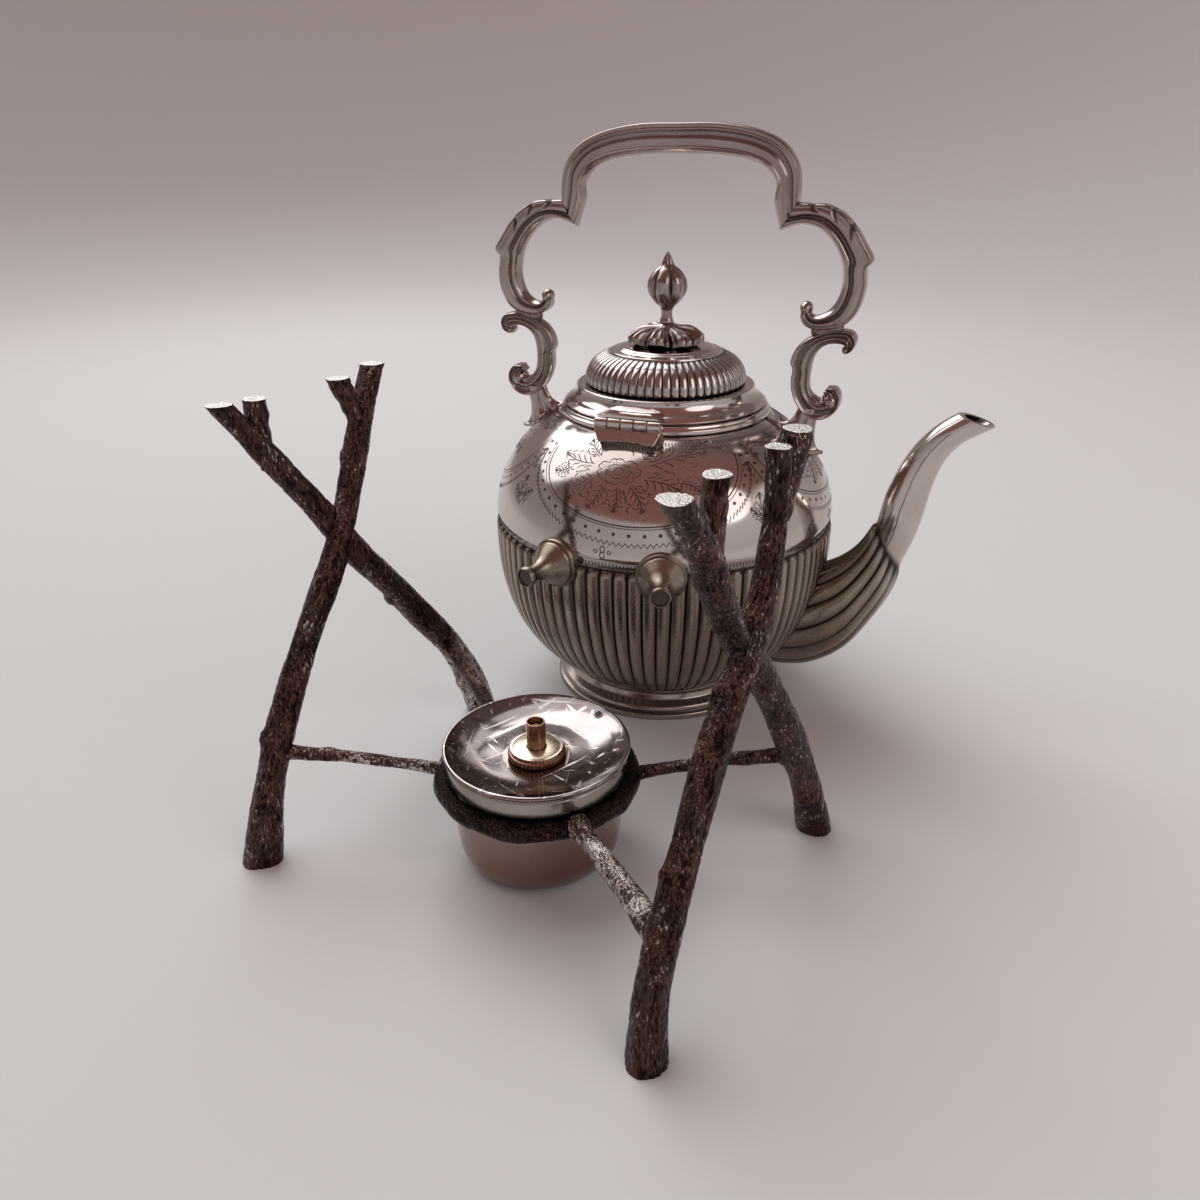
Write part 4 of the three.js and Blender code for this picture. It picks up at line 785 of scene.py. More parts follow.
BRACKET_PAIR_SHARES = [
    (0.95, 0.242, 0.934, 0.262, 0.8), (0.982, 0.256, 0.938, 0.27, 0.95),
    (0.997, 0.288, 0.93, 0.276, 1.02), (0.978, 0.316, 0.91, 0.2765, 1),
    (0.93, 0.3255, 0.885, 0.2755, 0.94), (0.867, 0.322, 0.856, 0.271, 0.86),
    (0.795, 0.306, 0.824, 0.257, 0.8), (0.735, 0.284, 0.8, 0.234, 0.75),
    (0.69, 0.248, 0.788, 0.205, 0.72), (0.67, 0.2, 0.783, 0.17, 0.7), (0.684, 0.176, 0.782, 0.155, 0.68),
    (0.682, 0.14, 0.783, 0.132, 0.68), (0.69, 0.1, 0.789, 0.108, 0.7), (0.715, 0.058, 0.806, 0.088, 0.74),
    (0.757, 0.02, 0.828, 0.078, 0.8), (0.815, -0.004, 0.846, 0.072, 0.86),
    (0.872, -0.004, 0.862, 0.07, 0.9), (0.922, 0.016, 0.876, 0.073, 0.94),
    (0.953, 0.05, 0.884, 0.08, 0.96), (0.953, 0.088, 0.882, 0.088, 0.94),
    (0.925, 0.115, 0.87, 0.094, 0.9), (0.88, 0.117, 0.858, 0.094, 0.82),
]
# The neck that joins scroll and bracket
NECK_PAIR_SHARES = [
    (0.89, 0.352, 0.79, 0.352, 0.5), (0.918, 0.338, 0.768, 0.334, 0.7), (0.924, 0.328, 0.757, 0.32, 0.74),
    (0.918, 0.318, 0.758, 0.305, 0.72), (0.88, 0.3, 0.775, 0.288, 0.5),
]
BRACKET_TOP_KNOB_SHARE = (0.948, 0.255)
BRACKET_EYE_SHARE = (0.9, 0.063)
# Half sections of the handle's bars, from the outer edge to the inner, as [along, across] shares
GRIP_SECTION_SHARES = [
    (1, 0), (0.985, 0.55), (0.93, 0.88), (0.86, 0.93), (0.8, 0.85), (0.66, 0.88), (0.58, 0.92),
    (0.5, 0.84), (0.36, 0.72), (0.2, 0.7), (0.06, 0.78), (-0.04, 0.92), (-0.12, 0.9), (-0.4, 0.88),
    (-0.5, 0.9), (-0.56, 1), (-0.62, 0.95), (-0.8, 0.72), (-0.94, 0.4), (-1, 0),
]
SCROLL_SECTION_SHARES = [
    (1, 0), (0.985, 0.5), (0.94, 0.82), (0.86, 0.92), (0.8, 0.84), (0.68, 0.78), (0.5, 0.84), (0.3, 0.9),
    (0.1, 0.88), (-0.06, 0.76), (-0.16, 0.62), (-0.26, 0.62), (-0.34, 0.78), (-0.44, 0.94), (-0.56, 0.98),
    (-0.68, 0.9), (-0.82, 0.68), (-0.95, 0.35), (-1, 0),
]
BRACKET_SECTION_SHARES = [
    (1, 0), (0.96, 0.6), (0.88, 0.88), (0.78, 0.92), (0.68, 0.8), (0.5, 0.66), (0.25, 0.62), (0.02, 0.72),
    (-0.12, 0.86), (-0.24, 0.88), (-0.36, 0.78), (-0.52, 0.7), (-0.66, 0.78), (-0.8, 0.86), (-0.9, 0.74),
    (-0.97, 0.45), (-1, 0),
]
CHANNEL_SHADE = 0.5
NOTCH_W = 0.013
NOTCH_LEAN = 0.075
NOTCH_DEPTH = 0.8


def on_handle(share, side):
    x, z = share
    return side * HANDLE_HALF * x + HANDLE_SHIFT + HANDLE_LEAN * z, mix(HANDLE_FOOT_Z, HANDLE_TOP_Z, z)


def handle_pairs(shares, side):
    half = HANDLE_DEPTH / 2
    return [[*on_handle(row[:2], side), *on_handle(row[2:4], side), half * row[4]] for row in shares]


def full_section(half):
    """A closed section from its upper half, finely drawn, and how deep each point lies in a channel, scaled
    into painted shade.
    """
    half = np.array(half)
    closed = rounded(np.vstack([half, half[1:-1][::-1] * [1, -1]]), 0.06, 2)
    deep = smooth(-np.abs(closed[:, 1]), -0.84, -0.6) * (np.abs(closed[:, 0]) < 0.74)
    return closed, deep * CHANNEL_SHADE


def bar_loft(pairs, section, count, notches=()):
    """A bar between an outer and an inner edge, with crescent notches across its outer side where told."""
    shape, deep = section
    fine = spline(pairs, count, metric=4)
    ox, oz, ix, iz, half = (fine[:, k, None] for k in range(5))
    a, b = shape[None, :, 0], shape[None, :, 1]
    share = np.linspace(0, 1, count)[:, None]
    cut = 0 * share * a
    for at in notches:
        middle = at + NOTCH_LEAN * (1 - a) ** 2
        cut = np.maximum(cut, np.exp(-((share - middle) / NOTCH_W) ** 2) * smooth(a, 0.05, 0.4))
    size = np.hypot(ox - ix, oz - iz)
    a = a - cut * (a > 0.9) * NOTCH_DEPTH * 2 / size
    b = b * (1 - cut * NOTCH_DEPTH / np.maximum(half, 1))
    rings = np.stack([mix(ix, ox, (1 + a) / 2), half * b, mix(iz, oz, (1 + a) / 2)], -1)
    # The channels and the notches are darkened: painted shade
    return surface(rings, hollow=np.maximum(deep, cut * 0.9))


def ball(centre, size):
    """A small knob with three half sizes."""
    turn = np.linspace(0, math.pi, 17)
    profile = np.stack([np.sin(turn), -np.cos(turn)], 1)[1:-1]
    return surface(circles(profile, 32) * np.array(size) + np.array(centre))


def handle_grip():
    right = handle_pairs(GRIP_PAIR_SHARES, 1)
    left = handle_pairs(GRIP_PAIR_SHARES[1:], -1)[::-1]
    skin = bar_loft(left + right, full_section(GRIP_SECTION_SHARES), 260)
    piece("handle_grip_bar", skin, "kettle", WORN, "handle_grip", HANDLE_SHARP)


LEAF_NOTCHES = (0.085, 0.19, 0.3)  # along the scroll, where the leaf on its back is cut
SCROLL_KNOB = (2.7, 1.2, 2.9)  # half its width, how far it stands out beside the bar, half its height


def handle_scroll(name, side):
    pairs = handle_pairs(SCROLL_PAIR_SHARES, side)
    skin = bar_loft(pairs, full_section(SCROLL_SECTION_SHARES), 320, LEAF_NOTCHES)
    ox, oz, ix, iz, half = pairs[-1]
    knob = ball(((ox + ix) / 2, 0, (oz + iz) / 2), np.array(SCROLL_KNOB) + [0, half, 0])
    piece(f"handle_scroll_bar_{name}", [skin, knob], "kettle", WORN, f"handle_scroll_{name}", HANDLE_SHARP)


# The foot that spreads over the shoulder in four leaves
FOOT_AT_SHARE = 0.745
FOOT_TOP_SHARE = (0.795, 0.035)
FOOT_LEAVES = [(0, 8.6, 0.36), (math.pi, 12.0, 0.34), (math.pi / 2, 5.2, 0.42), (-math.pi / 2, 5.2, 0.42)]
FOOT_WAIST = (4.6, 3.4)
FOOT_EDGE = 4.6
FOOT_SCALLOPS = 16
FOOT_SCALLOP_H = 0.3
LEAF_BASE = 2  # how much of a leaf's length lies inside the foot's edge
FOOT_CURL_R = 61.0  # from here on the outer leaf bends up and away from the body
FOOT_CURL = 0.09
FOOT_LEAF_THICK = 1.3
FOOT_SINK = 0.8  # into the shoulder
FOOT_RISE = 0.7
KNOB_HALF = (1.9, 1.8)
EYE_R = 4.1


def bracket_foot(side):
    """The foot under a bracket: a waist that flares into four leaves, soldered to the shoulder."""
    turn = turns(144)
    waist = np.hypot(FOOT_WAIST[0] * np.cos(turn), FOOT_WAIST[1] * np.sin(turn))
    edge = FOOT_EDGE + FOOT_SCALLOP_H * np.cos(turn * FOOT_SCALLOPS)
    for way, length, width in FOOT_LEAVES:
        edge = edge + (length - LEAF_BASE) * np.exp(-np.abs(wrapped(turn - way) / width) ** 1.4)
    heights = np.linspace(BODY_WIDE_Z, BODY_NECK_Z, 400)
    radii = -body_radius(heights)
    low = side * HANDLE_HALF * FOOT_AT_SHARE + HANDLE_SHIFT
    high, top = on_handle(FOOT_TOP_SHARE, side)
    rings, hollow = [], []
    ridge = np.abs(wrapped(turn * 4)) / math.pi
    for t in np.linspace(0, math.pi / 2, 24):
        spread = mix(waist, edge, (1 - math.cos(t)) ** 1.1)
        rise = (1 - math.sin(t)) ** 1.1
        px = mix(low, high, rise) + side * spread * np.cos(turn)
        py = spread * np.sin(turn)
        reach = np.hypot(px, py)
        floor = np.interp(-reach, radii, heights) + FOOT_CURL * np.maximum(0, reach - FOOT_CURL_R) ** 2
        rings.append(np.stack([px, py, mix(floor + FOOT_RISE, top, rise)], -1))
        # Painted shade in the clefts between the four leaves, deeper as they spread
        hollow.append(smooth(ridge, 0.75, 1) * 0.6 * smooth(t, 0.4, 1.2))
    px, py, pz = rings[-1].T
    floor = np.interp(-np.hypot(px, py), radii, heights)
    rings.append(np.stack([px, py, np.maximum(floor - FOOT_SINK, pz - FOOT_LEAF_THICK)], -1))
    px, py, _ = mix(rings[-1].mean(0), rings[-1], 0.5).T
    floor = np.interp(-np.hypot(px, py), radii, heights)
    rings.append(np.stack([px, py, floor - FOOT_SINK], -1))
    hollow += [0 * turn, 0 * turn]
    return surface(np.array(rings), hollow=np.array(hollow))


def handle_bracket(name, side):
    pairs = handle_pairs(BRACKET_PAIR_SHARES, side)
    skin = bar_loft(pairs, full_section(BRACKET_SECTION_SHARES), 260)
    x, z = on_handle(BRACKET_TOP_KNOB_SHARE, side)
    knob = ball((x, 0, z), (KNOB_HALF[0], pairs[0][4] * 1.05, KNOB_HALF[1]))
    x, z = on_handle(BRACKET_EYE_SHARE, side)
    eye = ball((x, 0, z), (EYE_R, pairs[-1][4] * 1.2, EYE_R))
    turn = turns(48)
    oval = np.stack([np.cos(turn), 0.9 * np.sin(turn)], 1)
    # The neck is darkened all over with a hollow value of 0.3: painted shade
    neck = bar_loft(handle_pairs(NECK_PAIR_SHARES, side), (oval, 0.3), 40)
    skins = [skin, knob, eye, neck, bracket_foot(side)]
    piece(f"handle_bracket_bar_{name}", skins, "kettle", WORN, f"handle_bracket_{name}", HANDLE_SHARP)


# A stud's bell and the rim of its end, as shares of its boss, its knob and its length
STUD_BELL_SHARES = [
    (0.985, -0.25), (0.985, 0.055), (0.93, 0.085), (0.9, 0.09), (0.89, 0.13), (0.8, 0.2), (0.66, 0.3),
    (0.53, 0.39), (0.43, 0.48), (0.36, 0.57), (0.315, 0.66), (0.295, 0.74), (0.3, 0.8), (0.345, 0.85),
]
STUD_END_SHARES = [(0.97, 0.975), (0.88, 0.995), (0.78, 0.985), (0.72, 0.95), (0.3, 0.945)]


def stud(name, angle):
    length = STUD_REACH - BODY_R
    profile = spline([(STUD_BOSS_R * r, length * h) for r, h in STUD_BELL_SHARES], 90)
    profile = np.vstack([profile, [(STUD_KNOB_R, length * h) for h in (0.88, 0.94)],
                         [(STUD_KNOB_R * r, length * h) for r, h in STUD_END_SHARES]])
    # Tarnish and painted shade: darkest in the neck, on the sunk end and by the step near the base, and a
    # little all over
    deep = np.interp(profile[:, 1], length * np.array([0.5, 0.75, 0.83, 0.88]), [0, 0.55, 0.7, 0])
    deep[-3:] = 0.6
    deep += 0.5 * np.exp(-((profile[:, 1] / length - 0.085) / 0.012) ** 2)
    skin = spindle(profile, 72, hollow=deep[:, None] + 0.12, dull=1)
    x, y, z = skin["points"].T
    skin["points"] = spun(np.stack([z + BODY_R, y, STUD_Z - x], 1), angle)
    piece(f"hanging_{name}", skin, "kettle", POLISHED, name)


# Engraved ornament on the shoulder: lines cut round the body, and sprays of leaves and flowers

LINE_H = 0.07  # how far an engraved line's burr stands over the silver
LINE_EDGE = 0.015
LINE_SINK = 0.12
LINE_W = 0.55
SLOPE_STEP = 0.05
RESERVE_TURNS = [math.radians(-83 + 90 * k) for k in range(4)]
RESERVE_Z = 130.0
FLOWER_R = 9.6
FLOWER_SQUASH = 0.62
LEAF_BEND = 0.12


def plain_radius(z):
    """The body's outside between its flutes' tops and its neck."""
    radius = body_radius(z)
    return radius - FLUTE_DEPTH * np.sqrt(radius / BODY_R) * band_fade(z)


HEIGHTS = np.linspace(FLUTE_TOP_Z, BODY_NECK_Z, 800)
CLIMB = np.concatenate([[0], np.cumsum(np.hypot(np.diff(HEIGHTS), np.diff(plain_radius(HEIGHTS))))])


def stroke(turn, z, width=LINE_W, loop=False, taper=True):
    """One engraved line through places given as angle and height."""
    turn, z = np.asarray(turn, float), np.asarray(z, float)
    slope = (plain_radius(z + SLOPE_STEP) - plain_radius(z - SLOPE_STEP)) / (2 * SLOPE_STEP)
    normal = np.stack([np.cos(turn), np.sin(turn), -slope], -1) / np.sqrt(1 + slope**2)[:, None]
    point = around(plain_radius(z), turn, z)
    if loop:
        run = unit(np.roll(point, -1, 0) - np.roll(point, 1, 0))
    else:
        run = unit(np.gradient(point, axis=0))
    side = np.cross(normal, run)
    wide = np.full(len(z), width / 2.0)
    if taper and not loop:
        wide *= np.sin(np.linspace(0.3, math.pi - 0.3, len(z))) ** 0.7
    wide = wide[:, None]
    rings = np.stack([
        point - side * wide + normal * LINE_EDGE, point + normal * LINE_H,
        point + side * wide + normal * LINE_EDGE, point - normal * LINE_SINK,
    ], 1)
    return surface(rings, loop=loop)


def on_shoulder(turn, z, x, y):
    """Places on the shoulder from millimetres across and up from a middle."""
    climb = np.interp(z, HEIGHTS, CLIMB) + np.asarray(y, float)
    height = np.interp(climb, CLIMB, HEIGHTS)
    return turn + np.asarray(x, float) / plain_radius(height), height


def curve_stroke(middle, points, width=LINE_W, steps=9):
    fine = spline(points, steps) if len(points) > 2 else np.array(points, float)
    return stroke(*on_shoulder(*middle, fine[:, 0], fine[:, 1]), width)


def turned_to(points, angle, start):
    c, s = math.cos(angle), math.sin(angle)
    return [(start[0] + x * c - y * s, start[1] + x * s + y * c) for x, y in points]


def leaf(middle, start, angle, length, half, cuts=5):
    """A feathered leaf: a bent midrib, a scalloped edge and short curved cuts along both sides."""
    def rib(t):
        return LEAF_BEND * length * math.sin(t * 2.6)

    def draw(points, width, steps=9):
        return curve_stroke(middle, turned_to(points, angle, start), width, steps)

    lines = [draw([(length * t, rib(t)) for t in (0, 0.3, 0.6, 0.95)], LINE_W)]
    for side in (-1, 1):
        edge = []
        for i in range(cuts + 1):
            t = i / cuts
            swell = half * math.sin(math.pi * (0.12 + 0.88 * t) ** 0.8) + 0.05
            edge.append((length * (0.1 + 0.9 * t), rib(t) + side * swell))
        for (x0, y0), (x1, y1) in zip(edge, edge[1:]):
            mid_x, mid_y = 0.5 * (x0 + x1), 0.5 * (y0 + y1)
            bulge = (mid_x - 0.04 * length, mid_y + side * 0.16 * half)
            lobe = [(x0, y0), bulge, (x1 - 0.05 * length, y1 - side * 0.02 * half)]
            lines.append(draw(lobe, LINE_W * 0.8, 7))
            base = rib(mid_x / length)
            foot = (mid_x - 0.16 * length, base + side * 0.12 * half)
            knee_y = base + side * (abs(mid_y - base) * 0.45)
            cut = [foot, (mid_x - 0.03 * length, knee_y), (x1 - 0.06 * length, mix(knee_y, y1, 0.6))]
            lines.append(draw(cut, LINE_W * 0.95, 6))
    return lines


def flower(middle):
    """An open flower of scalloped petals in two rows, seen a little from the side."""
    def place(r, a):
        return r * math.cos(a), FLOWER_SQUASH * r * math.sin(a)

    lines = []
    for row, petals in ((1.0, 7), (0.56, 5)):
        size = FLOWER_R * row
        for k in range(petals):
            a0 = (k + 0.5 * row) / petals * TAU
            a1 = a0 + TAU / petals
            arc = []
            for t in (0, 0.18, 0.36, 0.5, 0.64, 0.82, 1):
                swell = 0.74 + 0.26 * math.sin(math.pi * t) ** 0.5 - (0.07 if t == 0.5 else 0)
                arc.append(place(size * swell, mix(a0, a1, t)))
            lines.append(curve_stroke(middle, arc, LINE_W, 16))
            for t, outer in ((0.28, 0.78), (0.5, 0.86), (0.72, 0.78)):
                a = mix(a0, a1, t)
                cut = [(size * r * math.cos(a + 0.04), place(size * r, a)[1]) for r in (0.52, outer)]
                lines.append(curve_stroke(middle, cut, LINE_W * 0.7, 4))
    a = turns(12)
    heart = on_shoulder(*middle, FLOWER_R * 0.2 * np.cos(a), FLOWER_R * 0.15 * np.sin(a))
    lines.append(stroke(*heart, LINE_W * 0.8, loop=True))
    return lines


# The leaves of a spray: place from its middle in millimetres, way in degrees, length and half width
SPRAY_LEAVES = [
    (-11, 2, 168, 17, 4.6), (-9, 6, 128, 11, 3.4), (-10, -3, 208, 15, 4.2), (-5, -6, 240, 13, 3.8),
    (1, -7, 268, 11, 3.6), (6, -6, 300, 14, 4.0), (11, -3, 338, 18, 5.0), (12, 3, 12, 24, 5.6),
    (9, 6, 48, 10, 3.2), (26, -4, 330, 11, 3.4), (22, 8, 30, 14, 3.8), (-22, -2, 196, 9, 2.8),
]
SPRAY_CUTS = [
    (-17, 10), (-20, -9), (16, 11), (30, 4), (18, -10), (-3, -15), (8, -16), (-13, -12), (34, -6), (3, 9),
]
SPRAY_MIDDLE = (math.radians(-7), -7.5)  # from a reserve's middle, along and up
# A small spray between two reserves, and the rows of fine upright cuts: count, low, high and lean
SPRIG_LEAVES = [(0, -12, 90, 15, 3.6), (0, 5, 90, 12, 3.0), (-1, -8, 140, 8, 2.2), (1, -8, 40, 8, 2.2)]
SPRIG_Z = 112.0
CUT_ROWS = [(240, 129.2, 130.1, 0.004), (240, 130.5, 131.4, -0.004), (320, 86.4, 88.3, 0.0)]
CUT_W = 0.45
# The four small ovals under a reserve: degrees from its middle, height and half sizes
DROP_OVALS = [(-8, 94.3, 1.0, 1.3), (-8, 91.9, 1.0, 1.3), (-10.2, 93.2, 0.8, 0.6), (-5.8, 93.2, 0.8, 0.6)]
# Half sizes of the oval lines round a reserve, in degrees and millimetres
RESERVE_HALF = (41, 26)
DOT_HALF = (43.6, 29.4)
ZIGZAG_HALF = (45.5, 33.2)
ZIGZAG_H = 0.8
DOT_R = 0.42
DOT_W = 0.7
PUNCH_R = 0.45
PUNCH_W = 0.5
PUNCH_RISE = 0.55


def reserve_place(turn, along, half, grow=1):
    """Places on the lower half of an oval that hangs from the neck."""
    return turn + math.radians(half[0]) * grow * np.cos(along), RESERVE_Z + half[1] * grow * np.sin(along)


def small_oval(turn, z, rx, ry, width=LINE_W * 0.8):
    a = turns(14)
    return stroke(*on_shoulder(turn, z, rx * np.cos(a), ry * np.sin(a)), width, loop=True)


def punched_spot(turn):
    """The small dark punch mark between two flutes' tops."""
    a = turns(10)
    z = FLUTE_TOP_Z + PUNCH_RISE + PUNCH_R * np.sin(a)
    return stroke(turn + PUNCH_R * np.cos(a) / BODY_R, z, PUNCH_W, loop=True)


def reserve(turn):
    """One oval reserve with its spray, its borders and the sprig beside it."""
    lines = []
    low = np.linspace(math.pi, TAU, 90)[3:-3]
    for grow, width in ((1, LINE_W), (1.035, LINE_W * 0.6)):
        lines.append(stroke(*reserve_place(turn, low, RESERVE_HALF, grow), width, taper=False))
    for a in np.linspace(math.pi + 0.12, TAU - 0.12, 27):
        lines.append(small_oval(*reserve_place(turn, a, DOT_HALF), DOT_R, DOT_R, DOT_W))
    wave = np.where(np.arange(131) % 2 == 0, ZIGZAG_H, -ZIGZAG_H)
    zig_turn, zig_z = reserve_place(turn, np.linspace(math.pi + 0.2, TAU - 0.2, 131), ZIGZAG_HALF)
    lines.append(stroke(zig_turn, zig_z + wave, LINE_W, taper=False))
    for off, z, rx, ry in DROP_OVALS:
        lines.append(small_oval(turn + math.radians(off), z, rx, ry))
    middle = (turn + SPRAY_MIDDLE[0], RESERVE_Z + SPRAY_MIDDLE[1])
    lines += flower(middle)
    for x, y, way, length, half in SPRAY_LEAVES:
        lines += leaf(middle, (x, y), math.radians(way), length, half)
    for i, (x, y) in enumerate(SPRAY_CUTS):
        hook = turned_to([(-1.6, 0), (0, 1.0), (1.7, 0.2)], i * 1.3, (x, y))
        lines.append(curve_stroke(middle, hook, LINE_W, 7))
    for x, y, way, length, half in SPRIG_LEAVES:
        lines += leaf((turn + math.radians(45), SPRIG_Z), (x, y), math.radians(way), length, half, 4)
    return lines


def engraving():
    lines = []
    for turn in RESERVE_TURNS:
        lines += reserve(turn)
    for count, low, high, lean in CUT_ROWS:
        for turn in turns(count):
            lines.append(stroke([turn, turn + lean], [low, high], CUT_W, taper=False))
    lines += [punched_spot((k + 0.5) / FLUTE_COUNT * TAU) for k in range(FLUTE_COUNT)]
    piece("shoulder_engraving", lines, "kettle", LINES, sharp=LINE_SHARP)


# Shapes of the hinge

PLATE_LENGTH = 8.0
PLATE_START = 2.5  # from PLATE_TOP, clear of the barrels
PLATE_THICK = 1.1
PLATE_BEVEL = 0.4
PLATE_DEPTH = 5.5
PLATE_LAYERS = (  # inset of the edge, height over the plate's back (its root lies in the body) and shade
    (0, -PLATE_DEPTH, 0), (0, 0, 0.2), (0, PLATE_THICK - PLATE_BEVEL, 0), (PLATE_BEVEL, PLATE_THICK, 0),
)
PLATE_TOP = np.array([0, -49.64, 138.44])  # the middle of its back, at the barrels
PLATE_WAY = unit(np.array([0, -0.41, -0.912]))
PLATE_FACE = unit(np.array([0, -0.912, 0.41]))
KNUCKLE_GAP = 0.22
KNUCKLE_HALF = HINGE_LENGTH / KNUCKLE_COUNT / 2 - KNUCKLE_GAP
BARREL_BORE_R = 0.85
LINK_BACK = 3.6
# The plate's edge, as shares of half its width and of its length below the barrels
PLATE_SHARES = [
    (-1, 0), (-1, 0.2), (-0.97, 0.36), (-0.9, 0.82), (-0.85, 1), (-0.62, 0.95), (-0.3, 0.86), (0, 0.82),
    (0.3, 0.85), (0.62, 0.94), (0.85, 1), (0.9, 0.82), (0.97, 0.36), (1, 0.2), (1, 0),
]


def knuckle_middle(i):
    return HINGE_LENGTH / KNUCKLE_COUNT * (i + 0.5) - HINGE_LENGTH / 2


def knuckles(places):
    """Barrels of the hinge, with softened ends."""
    corners = ((BARREL_BORE_R, -1), (KNUCKLE_R, -1), (KNUCKLE_R, 1), (BARREL_BORE_R, 1))
    profile = rounded([(r, KNUCKLE_HALF * end) for r, end in corners], BARREL_ROUND, 4)
    out = []
    for i in places:
        skin = lathe(profile, 64)
        x, y, z = skin["points"].T
        skin["points"] = np.stack([z + knuckle_middle(i), x - HINGE_R, y + HINGE_Z], 1)
        out.append(skin)
    return out


def links(places, section):
    """Short bars that join barrels to their leaf, from a section across the hinge."""
    out = []
    for i in places:
        ends = (knuckle_middle(i) - KNUCKLE_HALF, knuckle_middle(i) + KNUCKLE_HALF)
        out.append(surface(np.array([[(x, y, z) for y, z in section] for x in ends])))
    return out


def hinge_body_leaf():
    """The fixed leaf: a bevelled plate with a bracket-shaped lower edge, and its three barrels."""
    half = HINGE_LENGTH / 2 - SEAM
    span = PLATE_LENGTH - PLATE_START
    edge = rounded([(u * half, v * span) for u, v in PLATE_SHARES], PLATE_ROUND, 4)
    middle = np.array([0, span / 2])
    rings, hollow = [], []
    for inset, depth, deep in PLATE_LAYERS:
        flat = middle + (edge - middle) * np.array([1 - inset / half, 1 - 2 * inset / span])
        flat = flat + [0, PLATE_START]
        rings.append(PLATE_TOP + flat[:, :1] * [1, 0, 0] + flat[:, 1:] * PLATE_WAY + PLATE_FACE * depth)
        hollow.append(np.full(len(edge), deep))
    plate = surface(np.array(rings), hollow=np.array(hollow))
    end = PLATE_START + 0.3
    corners = ((0.0, 0.2), (0.0, PLATE_THICK), (end, PLATE_THICK), (end, -LINK_BACK / 2))
    section = [(PLATE_TOP + PLATE_WAY * v + PLATE_FACE * d)[1:] for v, d in corners]
    skins = [plate, *links((0, 2, 4), section), *knuckles((0, 2, 4))]
    piece("hinge_plate_body", skins, "kettle", POLISHED, "hinge_leaf_body", BODY_LEAF_SHARP)


# The lid's leaf from its barrels to its end: distance from the axis, height and share of its width
LID_LEAF_ROWS = [
    (50.5, 141.5, 0.98), (48.5, 141.5, 0.98), (46.0, 141.5, 0.98), (44.2, 141.55, 0.97),
    (42.9, 141.8, 0.9), (41.8, 142.4, 0.78), (40.9, 143.1, 0.6),
]


LID_LEAF_HALF = 0.42  # half its thickness
LID_LEAF_BEND = (45.5, 43.0)  # distances from the axis between which it bends to follow the round flange
LINK_FOOT, LINK_HEAD = HINGE_Z + 1, HINGE_Z + 2.7


def hinge_lid_leaf():
    """The lid's leaf, which bends up the flange, and its two barrels."""
    rows = spline(LID_LEAF_ROWS, 24, metric=2)
    half = HINGE_LENGTH / 2 - SEAM
    slope = unit(np.gradient(rows[:, :2], axis=0))
    across = np.linspace(-1, 1, 21)
    over = np.stack([across, LID_LEAF_HALF * (1 - np.abs(across) ** 8)], 1)
    width, lift = np.vstack([over, over[::-1] * [1, -1]]).T
    rings = []
    for (r, z, wide), (dr, dz) in zip(rows, slope):
        u = width * half * wide
        reach = r + lift * dz
        bend = smooth(-r, -LID_LEAF_BEND[0], -LID_LEAF_BEND[1])
        x = mix(u, reach * np.sin(u / reach), bend)
        y = mix(-reach + 0 * u, -reach * np.cos(u / reach), bend)
        rings.append(np.stack([x, y, z - lift * dr], -1))
    outer, inner = -HINGE_R, -HINGE_R + LINK_BACK
    section = [(outer, LINK_FOOT), (outer, LINK_HEAD), (inner, LINK_HEAD), (inner, LINK_FOOT)]
    skins = [surface(np.array(rings)), *links((1, 3), section), *knuckles((1, 3))]
    piece("hinge_plate_lid", skins, "lid", POLISHED, "hinge_leaf_lid", LID_LEAF_SHARP)


# Shapes of the lid

LID_BASE_Z = BODY_NECK_Z + COLLAR_H + 2 * SEAM
COVE_SHARES = [(1, 0.12), (0.74, 0.28), (0.34, 0.48), (0.08, 0.76), (0, 1)]
DOME_SHARES = [(0.99, 0), (0.985, 0.3), (0.9, 0.7), (0.72, 0.98)]
# The dome's smooth top over its reeds, as shares of its radius and of the wall
DOME_TOP_SHARES = [(0.98, 0), (0.97, 0.4), (0.84, 0.8), (0.79, 1.7)]
CROWN_RISE = 3.2
REED_FOOT, REED_HEAD = 0.06, 0.88  # shares of the dome's side between which the reeds are full
CROWN_Z = DOME_TOP_Z + WALL * CROWN_RISE


def lid_flange():
    z = LID_BASE_Z
    spread = LID_RIM_R - LID_RING_R
    cove = spline([(LID_RING_R + spread * r, mix(z, LID_RING_Z, h)) for r, h in COVE_SHARES], 26)
    inner = DOME_R - WALL * 2
    upper, lower = LID_RING_Z + WALL / 3, LID_RING_Z - WALL
    profile = [
        (LID_RIM_R - spread * 0.1, z), *cove, (LID_RING_R - WALL / 2, upper), (inner, upper), (inner, lower),
        (LID_RING_R - WALL, lower), (COLLAR_BORE_R - BEZEL_PLAY - BEZEL_WALL, z),
    ]
    piece("lid_flange_ring", lathe(rounded(profile, FLANGE_ROUND, 4)), "lid", POLISHED, "lid_flange")


